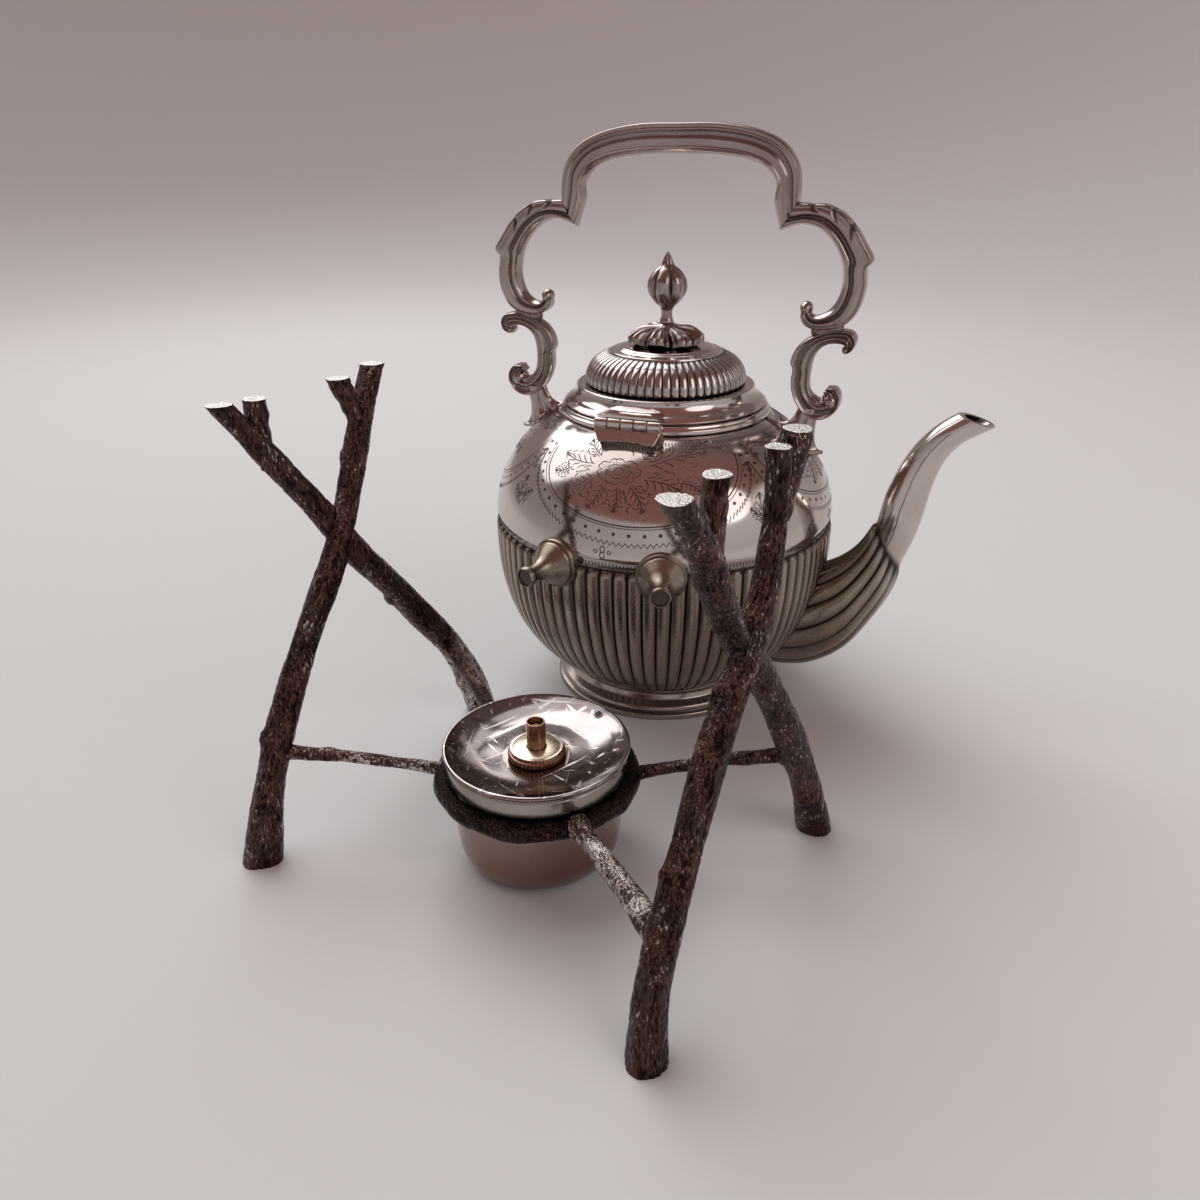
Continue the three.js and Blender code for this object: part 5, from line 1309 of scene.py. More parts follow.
def lid_dome():
    foot = LID_RING_Z + WALL / 3 + SEAM
    rise = DOME_TOP_Z - foot
    angle, across = flute_turns(REED_COUNT, 8)
    outline = spline([(DOME_R * r, foot + rise * h) for r, h in DOME_SHARES], 34)
    share = np.linspace(0, 1, len(outline))[:, None]
    ends = (REED_FOOT - share) / REED_FOOT, (share - REED_HEAD) / (1 - REED_HEAD)
    bump = flute_bump(across, np.maximum(*np.clip(ends, 0, 1)))
    reeds = around(outline[:, 0, None] - REED_DEPTH * (1 - bump), angle, outline[:, 1, None])
    hole = POST_R + SEAM
    crown = [(DOME_TOP_R * r, DOME_TOP_Z + WALL * h) for r, h in DOME_TOP_SHARES] + [(hole, CROWN_Z)]
    under = [(hole, DOME_TOP_Z + WALL * 2), (DOME_TOP_R * 0.8, DOME_TOP_Z - WALL * 0.4)]
    under += [(DOME_R * r - REED_DEPTH, foot + rise * h) for r, h in ((0.85, 0.6), (0.925, 0))]
    rest = np.vstack([rounded(crown, CROWN_ROUND, 5, loop=False), under])
    plain = around(rest[:, 0, None], angle, rest[:, 1, None])
    # Tarnish and painted shade in the grooves between the reeds
    hollow = np.vstack([np.clip(1 - bump, 0, 1) ** 0.8, np.zeros((len(rest), len(angle)))])
    skin = surface(np.vstack([reeds, plain]), loop=True, hollow=hollow)
    piece("lid_dome_reeded", skin, "lid", POLISHED, "lid_dome")


# The rosette from its hole out, up and back: share of its radius and height, how far it waves and ruffles
CALYX_SHARES = [
    (0.5, 0, 0, 0), (0.82, 0.0, 0.3, 1), (0.94, -0.04, 0.5, 1.05), (1.0, 0.06, 0.7, 1.1),
    (1.0, 0.2, 0.9, 1.1), (0.95, 0.36, 1, 1.05), (0.86, 0.52, 1.05, 1), (0.74, 0.65, 1, 0.85),
    (0.59, 0.73, 0.8, 0.65), (0.43, 0.79, 0.5, 0.4), (0.31, 0.87, 0.2, 0.15),
]
CALYX_SIDES = 384
VEIN_DEPTH = 0.35
CALYX_DROOP = 1.2  # how far the leaves hang over the dome's crown
CALYX_LEAST = 0.6  # their least thickness


def finial_calyx():
    """A rosette of leaves that droop over the dome's top."""
    base = CROWN_Z + SEAM
    angle = turns(CALYX_SIDES)
    leaf_turn = angle * CALYX_LOBES / 2 + 0.25 * np.sin(angle * 2 + 0.6)
    lobe = np.abs(np.cos(leaf_turn))
    teeth = np.abs(np.sin(leaf_turn * 3 + 0.5 * np.sin(angle * 3)))
    frill = 0.26 * lobe**0.55 + 0.07 * teeth**0.8 - 0.26 + 0.05 * np.cos(angle * 3 + 1)
    vein = np.exp(-((lobe - 1) / 0.01) ** 2) + 0.5 * (1 - teeth) ** 3 * (lobe < 0.95)
    droop = 0.5 + 0.5 * np.cos(angle * 3 + 2.2)
    hole = POST_R + SEAM
    rows = [(hole, 0, 0, 0), *[(CALYX_R * r, *rest) for r, *rest in CALYX_SHARES]]
    rows = spline([*rows, (STEM_R * 1.5, 1, 0, 0), (hole, 1, 0, 0)], 52, metric=2)
    rings, hollow = [], []
    for r, h, wave, ruffle in rows:
        lift = CALYX_H * wave * (0.42 * lobe**0.6 - 0.33 - 0.12 * droop + 0.1 * teeth)
        z = base + CALYX_H * h + lift - vein * wave * VEIN_DEPTH
        z = np.maximum(z, base - CALYX_DROOP * (r / CALYX_R) ** 2 + (h > 0.03) * CALYX_LEAST)
        rings.append(around(r * (1 + frill * ruffle), angle, z))
        # Tarnish and painted shade between the leaves and along their veins
        hollow.append(np.clip(wave * (1 - lobe**0.4) + vein * wave * 0.4, 0, 0.8))
    skin = surface(np.array(rings), loop=True, hollow=np.array(hollow))
    piece("finial_leaf_rosette", skin, "lid", WORN, "finial_calyx", FINIAL_SHARP)


# The bud over its stem, as shares of its radius out and up from its middle, and how deep its lobes are cut
BUD_SHARES = [
    (0.66, -0.68, 0.1), (0.97, -0.2, 0.2), (0.95, 0.3, 0.2), (0.66, 0.76, 0.16), (0.34, 1.02, 0.12),
]
TIP_R = 0.3
POST_DROP = 2.4  # how far the post reaches into its nut


def finial_bud():
    """The lobed bud with its pointed tip, its stem and its threaded post."""
    seat = CROWN_Z + CALYX_H + SEAM * 2
    post_end = CROWN_Z - WALL * 2 - POST_DROP - SEAM * 2
    angle = turns(BUD_LOBES * 24)
    lobe = 1 - np.abs(np.sin(angle * BUD_LOBES / 2))
    lower = BUD_Z - BUD_R
    rows = [
        (POST_R, post_end, 0), (POST_R, seat - SEAM, 0), (STEM_R * 1.25, seat, 0),
        (STEM_R, mix(seat, lower, 0.45), 0), (STEM_R * 1.15, mix(seat, lower, 0.95), 0),
        *[(BUD_R * r, BUD_Z + BUD_R * h, depth) for r, h, depth in BUD_SHARES],
        (BUD_R * 0.2, mix(BUD_Z + BUD_R, FINIAL_TIP_Z, 0.55), 0.3), (TIP_R, FINIAL_TIP_Z, 0),
    ]
    r, z, depth = (column[:, None] for column in spline(rows, 150, metric=2).T)
    swell = 1 - np.clip(depth, 0, 1) * lobe**1.6
    # Tarnish and painted shade in the clefts between the lobes
    skin = surface(around(r * swell, angle, z), hollow=np.clip(depth * 5, 0, 1) * lobe**3)
    piece("finial_bud_lobed", skin, "lid", WORN, "finial_bud", FINIAL_SHARP)


# Shapes of the stand

STANCE_X = 80.0
# Each frame's side of the stand, and its shares of STANCE_X at the crossing and at the top
FRAMES = {"left": (-1, 1.0525, 1.2375), "right": (1, 0.94125, 0.9375)}
CROSS_SHARE = 0.655
# Each branch: its share of STANCE_X at the foot, its path and prong as shares of STANCE_Y and STAND_H, its
# girths at sole, shaft, crossing, tip and prong, its ring arm's height and girth, how bare its leg and its
# arm are rubbed, and its knots as [share along it, angle, height]
BRANCHES = {
    "front_left": {
        "frame": "left", "stand_off": 1, "phase": 0.4, "foot": 1.0625,
        "path": [(-0.965, 0), (-0.875, 0.13), (-0.665, 0.31), (-0.44, 0.47), (-0.13, 0.65), (0.12, 0.78),
                 (0.315, 0.89), (0.545, 1)],
        "prong": [(0.29, 0.87), (0.28, 0.93), (0.245, 0.988)],
        "girths": (1.26, 1, 0.95, 0.88, 1), "arm": (0.242, 0.95), "bare": (0, 0.45),
        "knots": [(0.1, 5.6, 1.1), (0.24, 4.0, 1.9), (0.37, 5.8, 1.2), (0.55, 5.2, 1.7), (0.68, 4.1, 1.1),
                  (0.8, 3.6, 1.4)],
    },
    "rear_left": {
        "frame": "left", "stand_off": -1, "phase": 1.9, "foot": 1.0375,
        "path": [(1.03, 0), (0.95, 0.1), (0.845, 0.19), (0.7, 0.28), (0.48, 0.39), (0.26, 0.51),
                 (0.01, 0.63), (-0.17, 0.75), (-0.36, 0.87), (-0.57, 0.995)],
        "prong": [(-0.38, 0.85), (-0.38, 0.92), (-0.345, 0.99)],
        "girths": (1.3, 1.1, 0.92, 0.84, 1), "arm": (0.265, 1.3), "bare": (0.8, 0),
        "knots": [(0.09, 4.2, 1.2), (0.2, 5.0, 1.7), (0.33, 3.8, 1.2), (0.46, 4.2, 1.9), (0.66, 5.1, 1.2),
                  (0.84, 5.6, 1.3)],
    },
    "front_right": {
        "frame": "right", "stand_off": 1, "phase": 3.1, "foot": 1.015,
        "path": [(-0.95, 0), (-0.875, 0.12), (-0.7, 0.25), (-0.485, 0.375), (-0.245, 0.505), (0.05, 0.63),
                 (0.25, 0.74), (0.34, 0.87), (0.335, 0.984)],
        "prong": [(0.35, 0.85), (0.46, 0.93), (0.56, 0.995)],
        "girths": (1.26, 1.02, 0.93, 0.72, 1.18), "arm": (0.208, 1.5), "bare": (0, 0.9),
        "knots": [(0.14, 5.3, 1.2), (0.3, 4.4, 1.9), (0.44, 5.5, 1.2), (0.58, 3.6, 1.6), (0.71, 5.0, 1.1),
                  (0.83, 4.6, 1.3)],
    },
    "rear_right": {
        "frame": "right", "stand_off": -1, "phase": 4.6, "foot": 1.03,
        "path": [(1.05, 0), (0.93, 0.12), (0.73, 0.265), (0.52, 0.41), (0.28, 0.54), (0.03, 0.66),
                 (-0.18, 0.77), (-0.38, 0.89), (-0.63, 1)],
        "prong": [(-0.3, 0.84), (-0.3, 0.92), (-0.28, 1)],
        "girths": (1.26, 1, 0.95, 0.94, 1), "arm": (0.268, 1), "bare": (0, 0),
        "knots": [(0.12, 4.8, 1.2), (0.25, 3.9, 1.7), (0.4, 5.0, 1.1), (0.5, 5.4, 1.7), (0.7, 4.4, 1.1),
                  (0.82, 4.3, 1.3)],
    },
}


def branch_point(branch, place):
    share_y, share_z = place
    side, crossing, top = FRAMES[branch["frame"]]
    x = side * STANCE_X * np.interp(share_z, [0, CROSS_SHARE, 1], [branch["foot"], crossing, top])
    near = max(0, 1 - abs(share_z - CROSS_SHARE) / (CROSS_SHARE / 2))
    return (x + branch["stand_off"] * CROSS_OFFSET * near, STANCE_Y * share_y, STAND_H * share_z)


def bark_swell(angle, run, phase):
    return (0.05 * np.sin(2 * angle + 5 * run + phase) + 0.04 * np.sin(3 * angle - 17 * run + 2 * phase)
            + 0.035 * np.sin(23 * run + 3 * phase))


RIDGE_WIDTH = 1.3
RIDGE_LENGTH = 4.2
PIT_LENGTH = 1.8
WARP = 0.6  # how far the ridges wander
RELIEF = 0.35  # the pits' and lumps' share of the ridges


def bark(angle, along, girth, seed):
    """Height of the bark's ridges, pits and lumps, all together at most 1.7."""
    turn = np.stack([np.cos(angle), np.sin(angle), 0 * angle], -1) * (girth / RIDGE_WIDTH)
    place = turn + np.stack([0 * along, 0 * along, along / RIDGE_LENGTH], -1)
    warp = WARP * noise3(place * 0.5, seed + 9)[..., None]
    ridges = 1 - np.abs(rough_noise(place + warp, 3, seed))
    pits = rough_noise(turn * 2.2 + np.stack([0 * along, 0 * along, along / PIT_LENGTH], -1), 2, seed + 5)
    lumps = noise3(place * [0.4, 0.4, 0.7], seed + 17)
    return ridges + RELIEF * pits + RELIEF * lumps


KNOT_R = 2.6
KNOT_DENT_SHARE = 0.35
RIDGE_TOP = 1.6  # the bark's height that lies at a branch's radius
RUB_MOST = 1.4
# A branch's end: the shares of its last ring's size, and how far each stands out where the end is cut
END_SHARES = ((0.985, 0.12), (0.95, 0.16), (0.6, 0.1), (0.25, 0.14))


def branch_skin(points, radii, phase, count, sides=72, flat_ends=False, knots=(), rough=0.65):
    """A cast branch along a curve, with bark ridges, knots and cleanly cut ends."""
    middles = spline(points, count)
    share = np.linspace(0, 1, count)[:, None]
    run = unit(np.gradient(middles, axis=0))
    if flat_ends:
        tilt = np.minimum(smooth(share, 0.0714, 0.143), smooth(-share, -0.9286, -0.857))
        upright = np.array([0, 0, 1.0]) * np.sign(run[:, 2:3])
        run = unit(mix(upright, run, tilt))
    steep = np.abs(run[:, 2]).mean() > 0.35
    guide = np.array([1.0, 0, 0]) if steep else np.array([0, 0, 1.0])
    across = unit(guide - run * (run @ guide)[:, None])
    over = np.cross(run, across)
    angle = turns(sides)
    radius = np.interp(share[:, 0], *np.transpose(radii))[:, None]
    length = np.linalg.norm(np.diff(middles, axis=0), axis=1).sum()
    relief = bark(angle + 0 * share, share * length + 0 * angle, radius.mean(), int(phase * 10))
    r = radius * (1 + bark_swell(angle, share, phase)) + rough * (relief - RIDGE_TOP)
    for at, turn, size in knots:
        gap = np.hypot((share - at) * length, wrapped(angle - turn) * radius)
        r += size * (np.exp(-(gap / KNOT_R) ** 2) - 0.9 * np.exp(-(gap / (KNOT_R * KNOT_DENT_SHARE)) ** 2))
    rings = middles[:, None, :] + across[:, None, :] * (r * np.cos(angle))[..., None]
    rings = rings + over[:, None, :] * (r * np.sin(angle))[..., None]

    def end(at, out):
        return [mix(middles[at], rings[at], k) + run[at] * lift * out for k, lift in END_SHARES]

    pad = len(END_SHARES)
    rub = np.vstack([np.ones((pad, sides)), np.clip(relief, 0, RUB_MOST), np.ones((pad, sides))])
    rings = np.concatenate([end(0, 0)[::-1], rings, end(-1, int(flat_ends))])
    cut = np.zeros(rings.shape[:2])
    if flat_ends:
        # The top end's face takes the cut colour: bare silver with a painted highlight
        cut[-pad:] = 1
    return surface(rings, rub=rub, cut=cut)


ARM_KNOTS = [(0.3, 5.0, 0.9), (0.62, 4.2, 0.8)]
PRONG_SIDES = 44
PRONG_ROOT_ROWS = 10  # rows at a prong's root, inside its leg, that take no cut end


def leg(name, branch):
    sole, shaft, crossing, tip, _ = branch["girths"]
    girths = [(0, sole), (0.08, shaft * 1.12), (0.17, shaft), (0.6, crossing), (0.9, tip * 0.96), (1, tip)]
    points = [branch_point(branch, place) for place in branch["path"]]
    radii = [(s, BRANCH_R * g) for s, g in girths]
    skin = branch_skin(points, radii, branch["phase"], 420, flat_ends=True, knots=branch["knots"])
    z = skin["points"][:, 2]
    skin["data"]["cut"][z < STAND_H / 2] = 0
    skin["data"]["bare"] = branch["bare"][0] * (1 - smooth(z, STAND_H * 0.22, STAND_H * 0.36))
    piece(f"branch_{name}", skin, "stand", BARK, f"leg_{name}", BARK_SHARP)


def fork_prong(name, branch):
    points = [branch_point(branch, place) for place in branch["prong"]]
    size = PRONG_R * branch["girths"][-1]
    radii = [(0, size * 0.85), (0.4, size * 0.9), (1, size)]
    skin = branch_skin(points, radii, branch["phase"] + 1, 60, PRONG_SIDES, flat_ends=True, rough=0.4)
    skin["data"]["cut"][: PRONG_SIDES * PRONG_ROOT_ROWS] = 0
    piece(f"prong_{name}", skin, "stand", BARK, f"fork_prong_{name}", BARK_SHARP)


def ring_arm(name, branch):
    height, girth = branch["arm"]
    y, z = np.transpose(branch["path"])
    start = np.array(branch_point(branch, (np.interp(height, z, y), height)))
    centre = np.array([BURNER_X, 0, RING_Z])
    end = centre + unit((start - centre) * [1, 1, 0]) * RING_R
    middle = (start + end) / 2 + [0, 0, TWIG_R * 0.4]
    size = TWIG_R * girth
    radii = [(0, size * 1.3), (0.25, size), (0.85, size * 0.95), (1, size * 1.2)]
    skin = branch_skin([start, middle, end], radii, branch["phase"] + 2, 150, 48, rough=0.4, knots=ARM_KNOTS)
    skin["data"]["bare"] = np.full(len(skin["points"]), branch["bare"][1])
    piece(f"arm_{name}", skin, "stand", BARK, f"ring_arm_{name}", BARK_SHARP)


RING_ROUGH = 0.55
RING_RIDGE_TOP = 1.5
RING_SINK = 0.05
RING_SEED = 3


def burner_ring():
    turn = -turns(420)[:, None]
    angle = turns(48)
    outer_side = np.maximum(0, np.cos(angle + math.pi / 5))
    knot = outer_side * (0.08 + 0.08 * np.sin(5 * turn + 0.8) + 0.08 * np.sin(11 * turn + 2))
    relief = bark(angle + 0 * turn, RING_R * (turn + TAU) + 0 * angle, RING_TUBE_R, RING_SEED)
    join = smooth(np.abs(wrapped(turn)), 0, 0.12)
    r = RING_TUBE_R * (1 + np.maximum(0, knot)) + RING_ROUGH * join * (relief - RING_RIDGE_TOP) - RING_SINK
    rings = around(RING_R + r * np.cos(angle), turn, RING_Z + r * np.sin(angle)) + [BURNER_X, 0, 0]
    skin = surface(rings, loop=True, rub=np.clip(relief, 0, RUB_MOST) * 0.5)
    piece("ring_of_branch", skin, "stand", BARK, "burner_ring", BARK_SHARP)


# Shapes of the burner

RING_TOP_Z = RING_Z + RING_TUBE_R
DRUM_Z = RING_TOP_Z + SEAM
DISH_RIM_Z = DRUM_Z + DRUM_H + SEAM + BURNER_WALL * 2
WICK_COLLAR_Z = DISH_RIM_Z - DISH_SINK + SEAM
BOWL_SHARES = [(0.7, 0), (0.88, 0.04), (0.965, 0.15), (1, 0.34), (1, 1)]
DISH_SHARES = [(0.36, 1), (0.62, 0.8), (0.82, 0.45), (0.935, 0.12)]
DRUM_GROOVE = 0.35
RIM_DROP = 0.1
RIM_WEAR = (0.55, 0.9)  # depths under the rim between which its plating wears off
DISH_LINE_W = 0.16
BOWL_AXIS_R = 2.0  # where the bowl's skins stop short of its axis
BOWL_FLAT_R = 12.0
STAIN_SHARE, STAIN_SPREAD = 0.3, 0.13  # of the bowl's height: where the copper shows through


def bowl():
    rise = RING_TOP_Z - BOWL_BASE_Z
    outer = np.array([(BOWL_R * r, BOWL_BASE_Z + rise * h) for r, h in BOWL_SHARES])
    flat = [(BOWL_AXIS_R, BOWL_BASE_Z), (BOWL_FLAT_R, BOWL_BASE_Z)]
    curve = np.vstack([flat, spline(outer[:4], 30), outer[4:]])
    back = curve[::-1]
    inner = np.vstack([back[:1] - [BURNER_WALL, 0], back[1:-2] + [-BURNER_WALL, BURNER_WALL],
                       [(BOWL_AXIS_R, BOWL_BASE_Z + BURNER_WALL)]])
    profile = np.vstack([curve, inner])
    height = (profile[:, 1] - BOWL_BASE_Z) / rise
    stain = 0.6 * np.exp(-((height - STAIN_SHARE) / STAIN_SPREAD) ** 2)
    # The hollow value darkens the whole bowl a little: painted shade
    skin = spindle(profile, 160, hollow=0.08, copper=stain[:, None])
    piece("burner_reservoir", skin, "burner", BOWL, "burner_bowl")


def drum():
    z, wall = DRUM_Z, BURNER_WALL
    low_r, high_r = BOWL_R - wall * 2, DRUM_R - wall
    profile = rounded([
        (low_r, z), (DRUM_R - wall / 2, z), (DRUM_R, z + wall / 2), (DRUM_R, z + DRUM_H * 0.82),
        (DRUM_R - DRUM_GROOVE, z + DRUM_H * 0.88), (DRUM_R, z + DRUM_H * 0.94), (DRUM_R, z + DRUM_H),
        (high_r, z + DRUM_H), (high_r, z + wall), (low_r, z + wall),
    ], DRUM_ROUND, 3)
    # The hollow value darkens the whole drum a little: painted shade
    piece("burner_drum_band", lathe(profile, dull=0.4, hollow=0.14), "burner", POLISHED, "burner_drum")


VENT_TILT_STEP = 0.5
VENT_LIP = ((0, -0.3), (0.75, -0.3), (0.6, 0.3), (0, 0.32))  # out from its hole and up
VENT_PLUG = ((0.1, -0.2), (0.1, 0.06))


def vent(plate):
    """The small vent near the dish's edge: a raised lip round a plug painted dark, as painted shade for a
    hole.
    """
    upper = plate[: np.argmax(plate[:, 0])]
    places = (VENT_REACH - VENT_TILT_STEP, VENT_REACH + VENT_TILT_STEP)
    low, high = np.interp(places, upper[:, 0], upper[:, 1])
    tilt = math.atan(high - low)
    lip = rounded([(VENT_R + out, up) for out, up in VENT_LIP], VENT_ROUND, 3)
    # The plug is painted fully dark: painted shade standing for the hole
    parts = [lathe(lip, 48), spindle([(VENT_R + out, up) for out, up in VENT_PLUG], 48, hollow=1.0)]
    for part in parts:
        x, y, z = part["points"].T
        along = VENT_REACH + x * math.cos(tilt) - z * math.sin(tilt)
        height = (low + high) / 2 + x * math.sin(tilt) + z * math.cos(tilt)
        part["points"] = spun(np.stack([along, y, height], 1), VENT_TURN)
    return parts


def dish():
    top = [(DISH_R * r, DISH_RIM_Z - DISH_SINK * h) for r, h in DISH_SHARES]
    hole = BUSH_R + SEAM
    middle, edge = DISH_RIM_Z - DISH_SINK, DISH_RIM_Z - BURNER_WALL * 2
    rim = [
        (DISH_R * 0.968, DISH_RIM_Z), (DISH_R * 0.985, DISH_RIM_Z), (DISH_R, DISH_RIM_Z - BURNER_WALL * 0.8),
        (DISH_R * 0.985, edge), (DISH_R * 0.94, edge),
    ]
    plate = np.vstack([
        [(hole, middle)], spline([*top, (DISH_R * 0.965, DISH_RIM_Z - RIM_DROP)], 40),
        rounded(rim, RIM_ROUND, 4, loop=False), spline(top, 24)[::-1] - [0, BURNER_WALL],
        [(hole, middle - BURNER_WALL)],
    ])
    r, z = plate[:, :1], plate[:, 1:]
    worn = smooth(DISH_RIM_Z - z, *RIM_WEAR) * (r > DISH_R * 0.975)
    # A dark ring just inside the rolled rim: painted shade at the rim's foot
    line = 0.55 * np.exp(-((r - DISH_R * 0.955) / DISH_LINE_W) ** 2)
    skins = [lathe(plate, 240, copper=worn, hollow=line), *vent(plate)]
    piece("burner_dish_plate", skins, "burner", DISH, "burner_dish")


# The screw collar over its plug: shares of its radius out and up, and how deep it is milled there
KNURL_SHARES = [
    (0.96, 0, 0), (1, 0.03, 1), (1, 0.17, 1), (0.965, 0.2, 0.4), (0.93, 0.205, 0), (0.925, 0.225, 0.6),
    (0.925, 0.31, 0.6), (0.905, 0.34, 0), (0.84, 0.345, 0), (0.82, 0.33, 0), (0.8, 0.345, 0),
]
KNURL_DEPTH_SHARE = 0.028
COLLAR_TOP_ROWS = 9  # rows before the collar's bright top


def wick_collar():
    z = WICK_COLLAR_Z
    bore, plug = WICK_TUBE_R + SEAM, BUSH_BORE_R - SEAM
    angle, across = flute_turns(KNURL_COUNT, 6)
    milling = KNURL_R * KNURL_DEPTH_SHARE * np.abs(across)
    rows = [(bore, z - BUSH_DROP, 0), (plug, z - BUSH_DROP, 0), (plug, z, 0)]
    rows += [(KNURL_R * r, z + KNURL_R * h, k) for r, h, k in KNURL_SHARES]
    rows += [(bore, rows[-1][1], 0)]
    rings = np.array([around(r - milling * k, angle, h) for r, h, k in rows])
    hollow = np.array([np.abs(across) * k for _, _, k in rows])
    top = (np.arange(len(rows)) >= COLLAR_TOP_ROWS)[:, None]
    skin = surface(rings, loop=True, hollow=hollow, top=top)
    piece("wick_collar_knurled", skin, "wick_holder", BRASS, "wick_collar")


WICK_END_Z = 8.0
WICK_STRANDS = 8
WICK_TWIST = 1.6
WICK_DENT = 0.05


def wick_and_tube():
    low, high = WICK_COLLAR_Z - BUSH_DROP - WICK_TUBE_R, WICK_TUBE_TOP_Z
    bore = WICK_TUBE_R - WICK_TUBE_WALL
    tube = rounded([(bore, low), (WICK_TUBE_R, low), (WICK_TUBE_R, high), (bore, high)], TUBE_ROUND, 4)
    piece("wick_tube_bright", lathe(tube, 72), "wick_holder", BRASS, "wick_tube")
    radius, top = bore - SEAM, WICK_TUBE_TOP_Z - WICK_SINK
    profile = rounded([
        (0, WICK_END_Z), (radius * 0.7, WICK_END_Z), (radius, WICK_END_Z + radius),
        (radius, top - radius * 0.3), (radius * 0.75, top), (0, top),
    ], WICK_ROUND, 4, loop=False)[1:-1]
    rings = circles(profile, 48)
    twist = turns(48) * WICK_STRANDS + rings[:, :, 2] * WICK_TWIST
    rings[:, :, :2] *= (1 - WICK_DENT * (0.5 + 0.5 * np.cos(twist)))[..., None]
    piece("wick_cord", surface(rings), "wick_holder", COTTON, "wick")


# Making the pieces

kettle_body()
engraving()
kettle_foot()
kettle_collar()
spout()
handle_grip()
for end_name, end_side in (("front", 1), ("rear", -1)):
    handle_scroll(end_name, end_side)
    handle_bracket(end_name, end_side)
for face, face_side in (("near", 1), ("far", -1)):
    for end_name, end_side in (("rear", -1), ("front", 1)):
        stud(f"stud_{face}_{end_name}", face_side * (end_side * STUD_SPREAD - math.pi / 2))
hinge_body_leaf()
hinge_lid_leaf()
lid_flange()
lid_dome()
finial_calyx()
finial_bud()
for branch_name, branch in BRANCHES.items():
    leg(branch_name, branch)
    fork_prong(branch_name, branch)
    ring_arm(branch_name, branch)
burner_ring()
bowl()
drum()
dish()
wick_collar()
wick_and_tube()

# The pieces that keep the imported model's shape
PLAIN_NODES = {"hinge_pin": POLISHED, "lid_bezel": POLISHED, "finial_nut": WORN, "burner_bush": BRASS}

for node, (_, material) in PLAIN_NODES.items():
    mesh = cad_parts[node].data
    mesh.materials.clear()
    mesh.materials.append(material)


# Camera, floor and lights

EYE = (182.42, -321.2, 244.8)
YAW = math.radians(-33.11)
PITCH = math.radians(25.55)
ROLL = math.radians(-0.54)
LENS = 29.235
SENSOR = 36.0
NEAREST = 0.01


def make_camera():
    forward = Vector((math.sin(YAW) * math.cos(PITCH), math.cos(YAW) * math.cos(PITCH), -math.sin(PITCH)))
    right = Vector((math.cos(YAW), -math.sin(YAW), 0))
    up = right.cross(forward)
    right_turned = right * math.cos(ROLL) + up * math.sin(ROLL)
    up_turned = up * math.cos(ROLL) - right * math.sin(ROLL)
    data = bpy.data.cameras.new("view")
    data.lens = LENS
    data.sensor_width = SENSOR
    data.clip_start = NEAREST
    camera = scene_object("view", data)
    turn = Matrix((right_turned, up_turned, -forward)).transposed()
    camera.matrix_world = Matrix.Translation(Vector(EYE) * MM) @ turn.to_4x4()
    bpy.context.scene.camera = camera


# The floor's sizes, in metres
FLOOR_R = 4.0
FLOOR_FLAT_R = 1.4
FLOOR_MIDDLE_R = 0.02
FLOOR_RIM_H = 2.0
FLOOR_SIDES = 96
FLOOR_TINT = rgb(0.7, 0.715, 0.715)


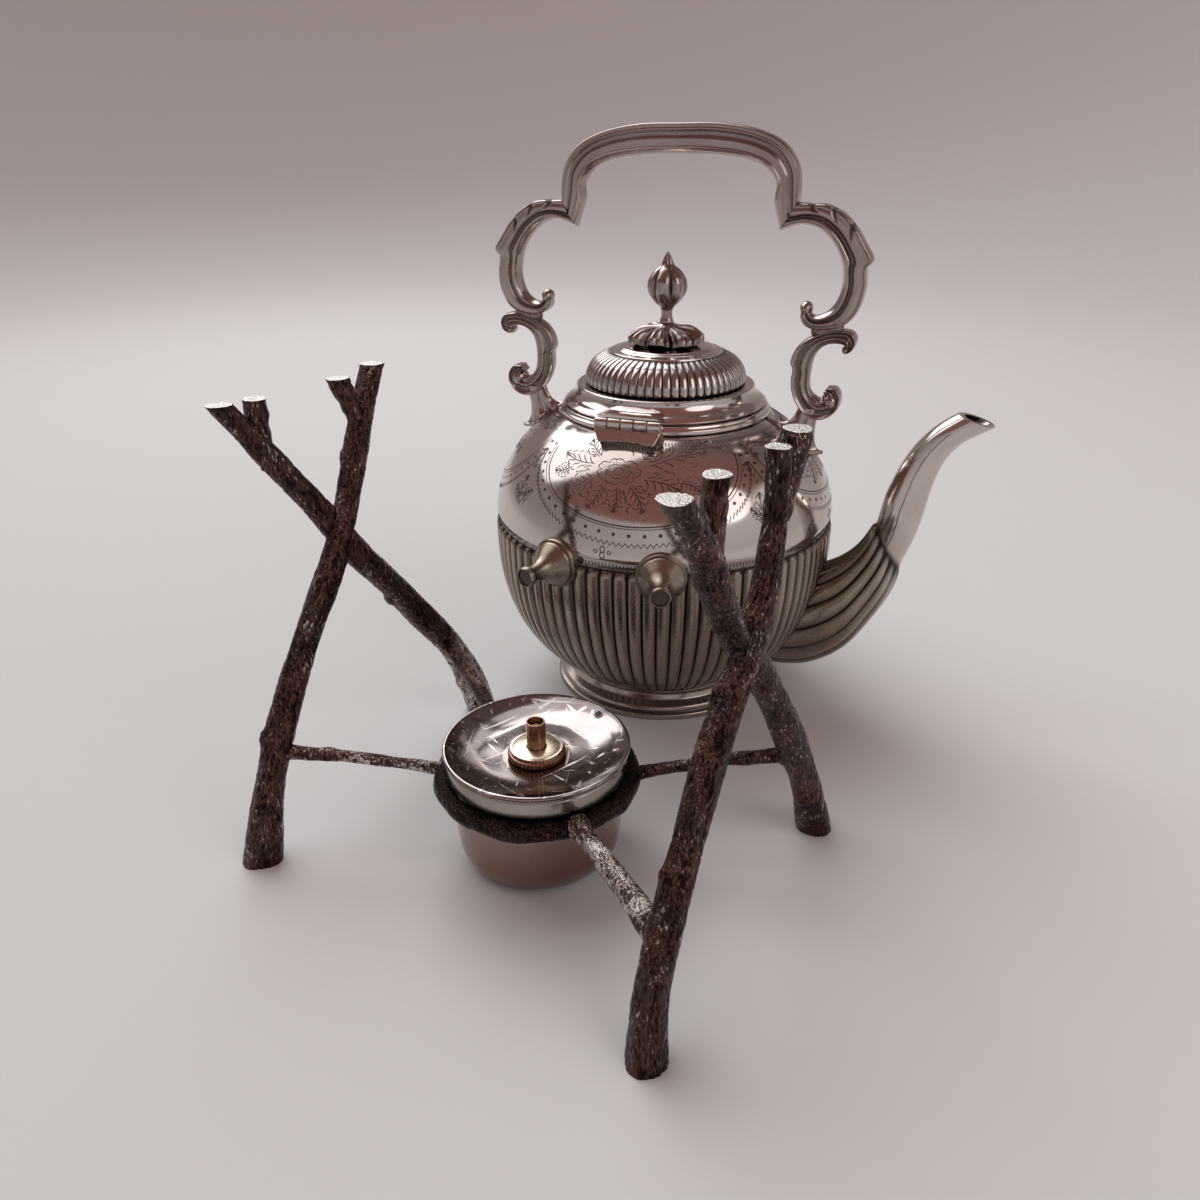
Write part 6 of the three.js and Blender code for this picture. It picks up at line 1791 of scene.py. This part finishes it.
def make_floor():
    """A pale floor that curves up far from the object."""
    flat = np.linspace(FLOOR_MIDDLE_R, FLOOR_FLAT_R, 12)
    share = np.linspace(0, 1, 24)[1:]
    radius = np.concatenate([flat, mix(FLOOR_FLAT_R, FLOOR_R, share)])
    height = np.concatenate([0 * flat, FLOOR_RIM_H * share**2])
    skin = surface(circles(np.stack([radius, height], 1), FLOOR_SIDES), caps=False)
    faces = skin["quads"].tolist() + [list(range(FLOOR_SIDES))[::-1]]
    mesh = bpy.data.meshes.new("floor")
    mesh.from_pydata(skin["points"].tolist(), [], faces)
    mesh.shade_smooth()
    look = Nodes(bpy.data.materials.new("floor_look"))
    mesh.materials.append(look.shade(Base_Color=FLOOR_TINT, Roughness=0.9))
    floor = scene_object("floor", mesh)


ROOM_TINT = rgb(0.2, 0.16, 0.152)
# Directions in the room, where each side begins and is full, and its colour
ROOM_SIDES = [
    ((0.6, -0.75, 0.25), -0.2, 0.45, rgb(0.26, 0.125, 0.112)),
    ((-0.8, 0.15, 0.5), 0.8, 0.9, rgb(0.5, 0.5, 0.5)),
    ((0.85, 0.35, 0.3), 0.93, 0.97, rgb(0.8, 0.78, 0.76)),
]


def make_world():
    """A dim warm room, darker and redder behind the camera, with two pale patches."""
    n = Nodes(bpy.data.worlds.new("room"))
    colour = ROOM_TINT
    for way, near, far, tint in ROOM_SIDES:
        values = {0: n.coordinates["Generated"], 1: unit(np.array(way)).tolist()}
        towards = n.add("ShaderNodeVectorMath", values, operation="DOT_PRODUCT").outputs["Value"]
        colour = n.blend(n.span(towards, near, far, interpolation_type="SMOOTHSTEP"), colour, tint)
    n.feed(n.tree.nodes["Background"].inputs["Color"], colour)
    bpy.context.scene.world = n.owner


# Each lamp: its place, its size across and its power
LAMPS = {"key": ((-0.9, 0.6, 1.2), 1.1, 8), "fill": ((1.1, -0.2, 0.9), 0.8, 2.5)}
LAMP_AIM = Vector((0, 0, 0.1))
SUN_FROM = Vector((-0.75, 0.3, 0.8))
SUN_POWER = 1.5
SUN_SPREAD = math.radians(75)


def make_lamp(name, kind, way, **props):
    data = bpy.data.lights.new(name, kind)
    for key, value in props.items():
        setattr(data, key, value)
    lamp = scene_object(name, data)
    lamp.rotation_euler = way.to_track_quat("-Z", "Y").to_euler()
    return lamp


make_camera()
make_floor()
make_world()
for lamp_name, (place, size, power) in LAMPS.items():
    way = LAMP_AIM - Vector(place)
    make_lamp(lamp_name, "AREA", way, shape="DISK", size=size, energy=power).location = place
make_lamp("room_light", "SUN", -SUN_FROM, energy=SUN_POWER, angle=SUN_SPREAD)

bpy.context.scene.view_settings.view_transform = "Standard"
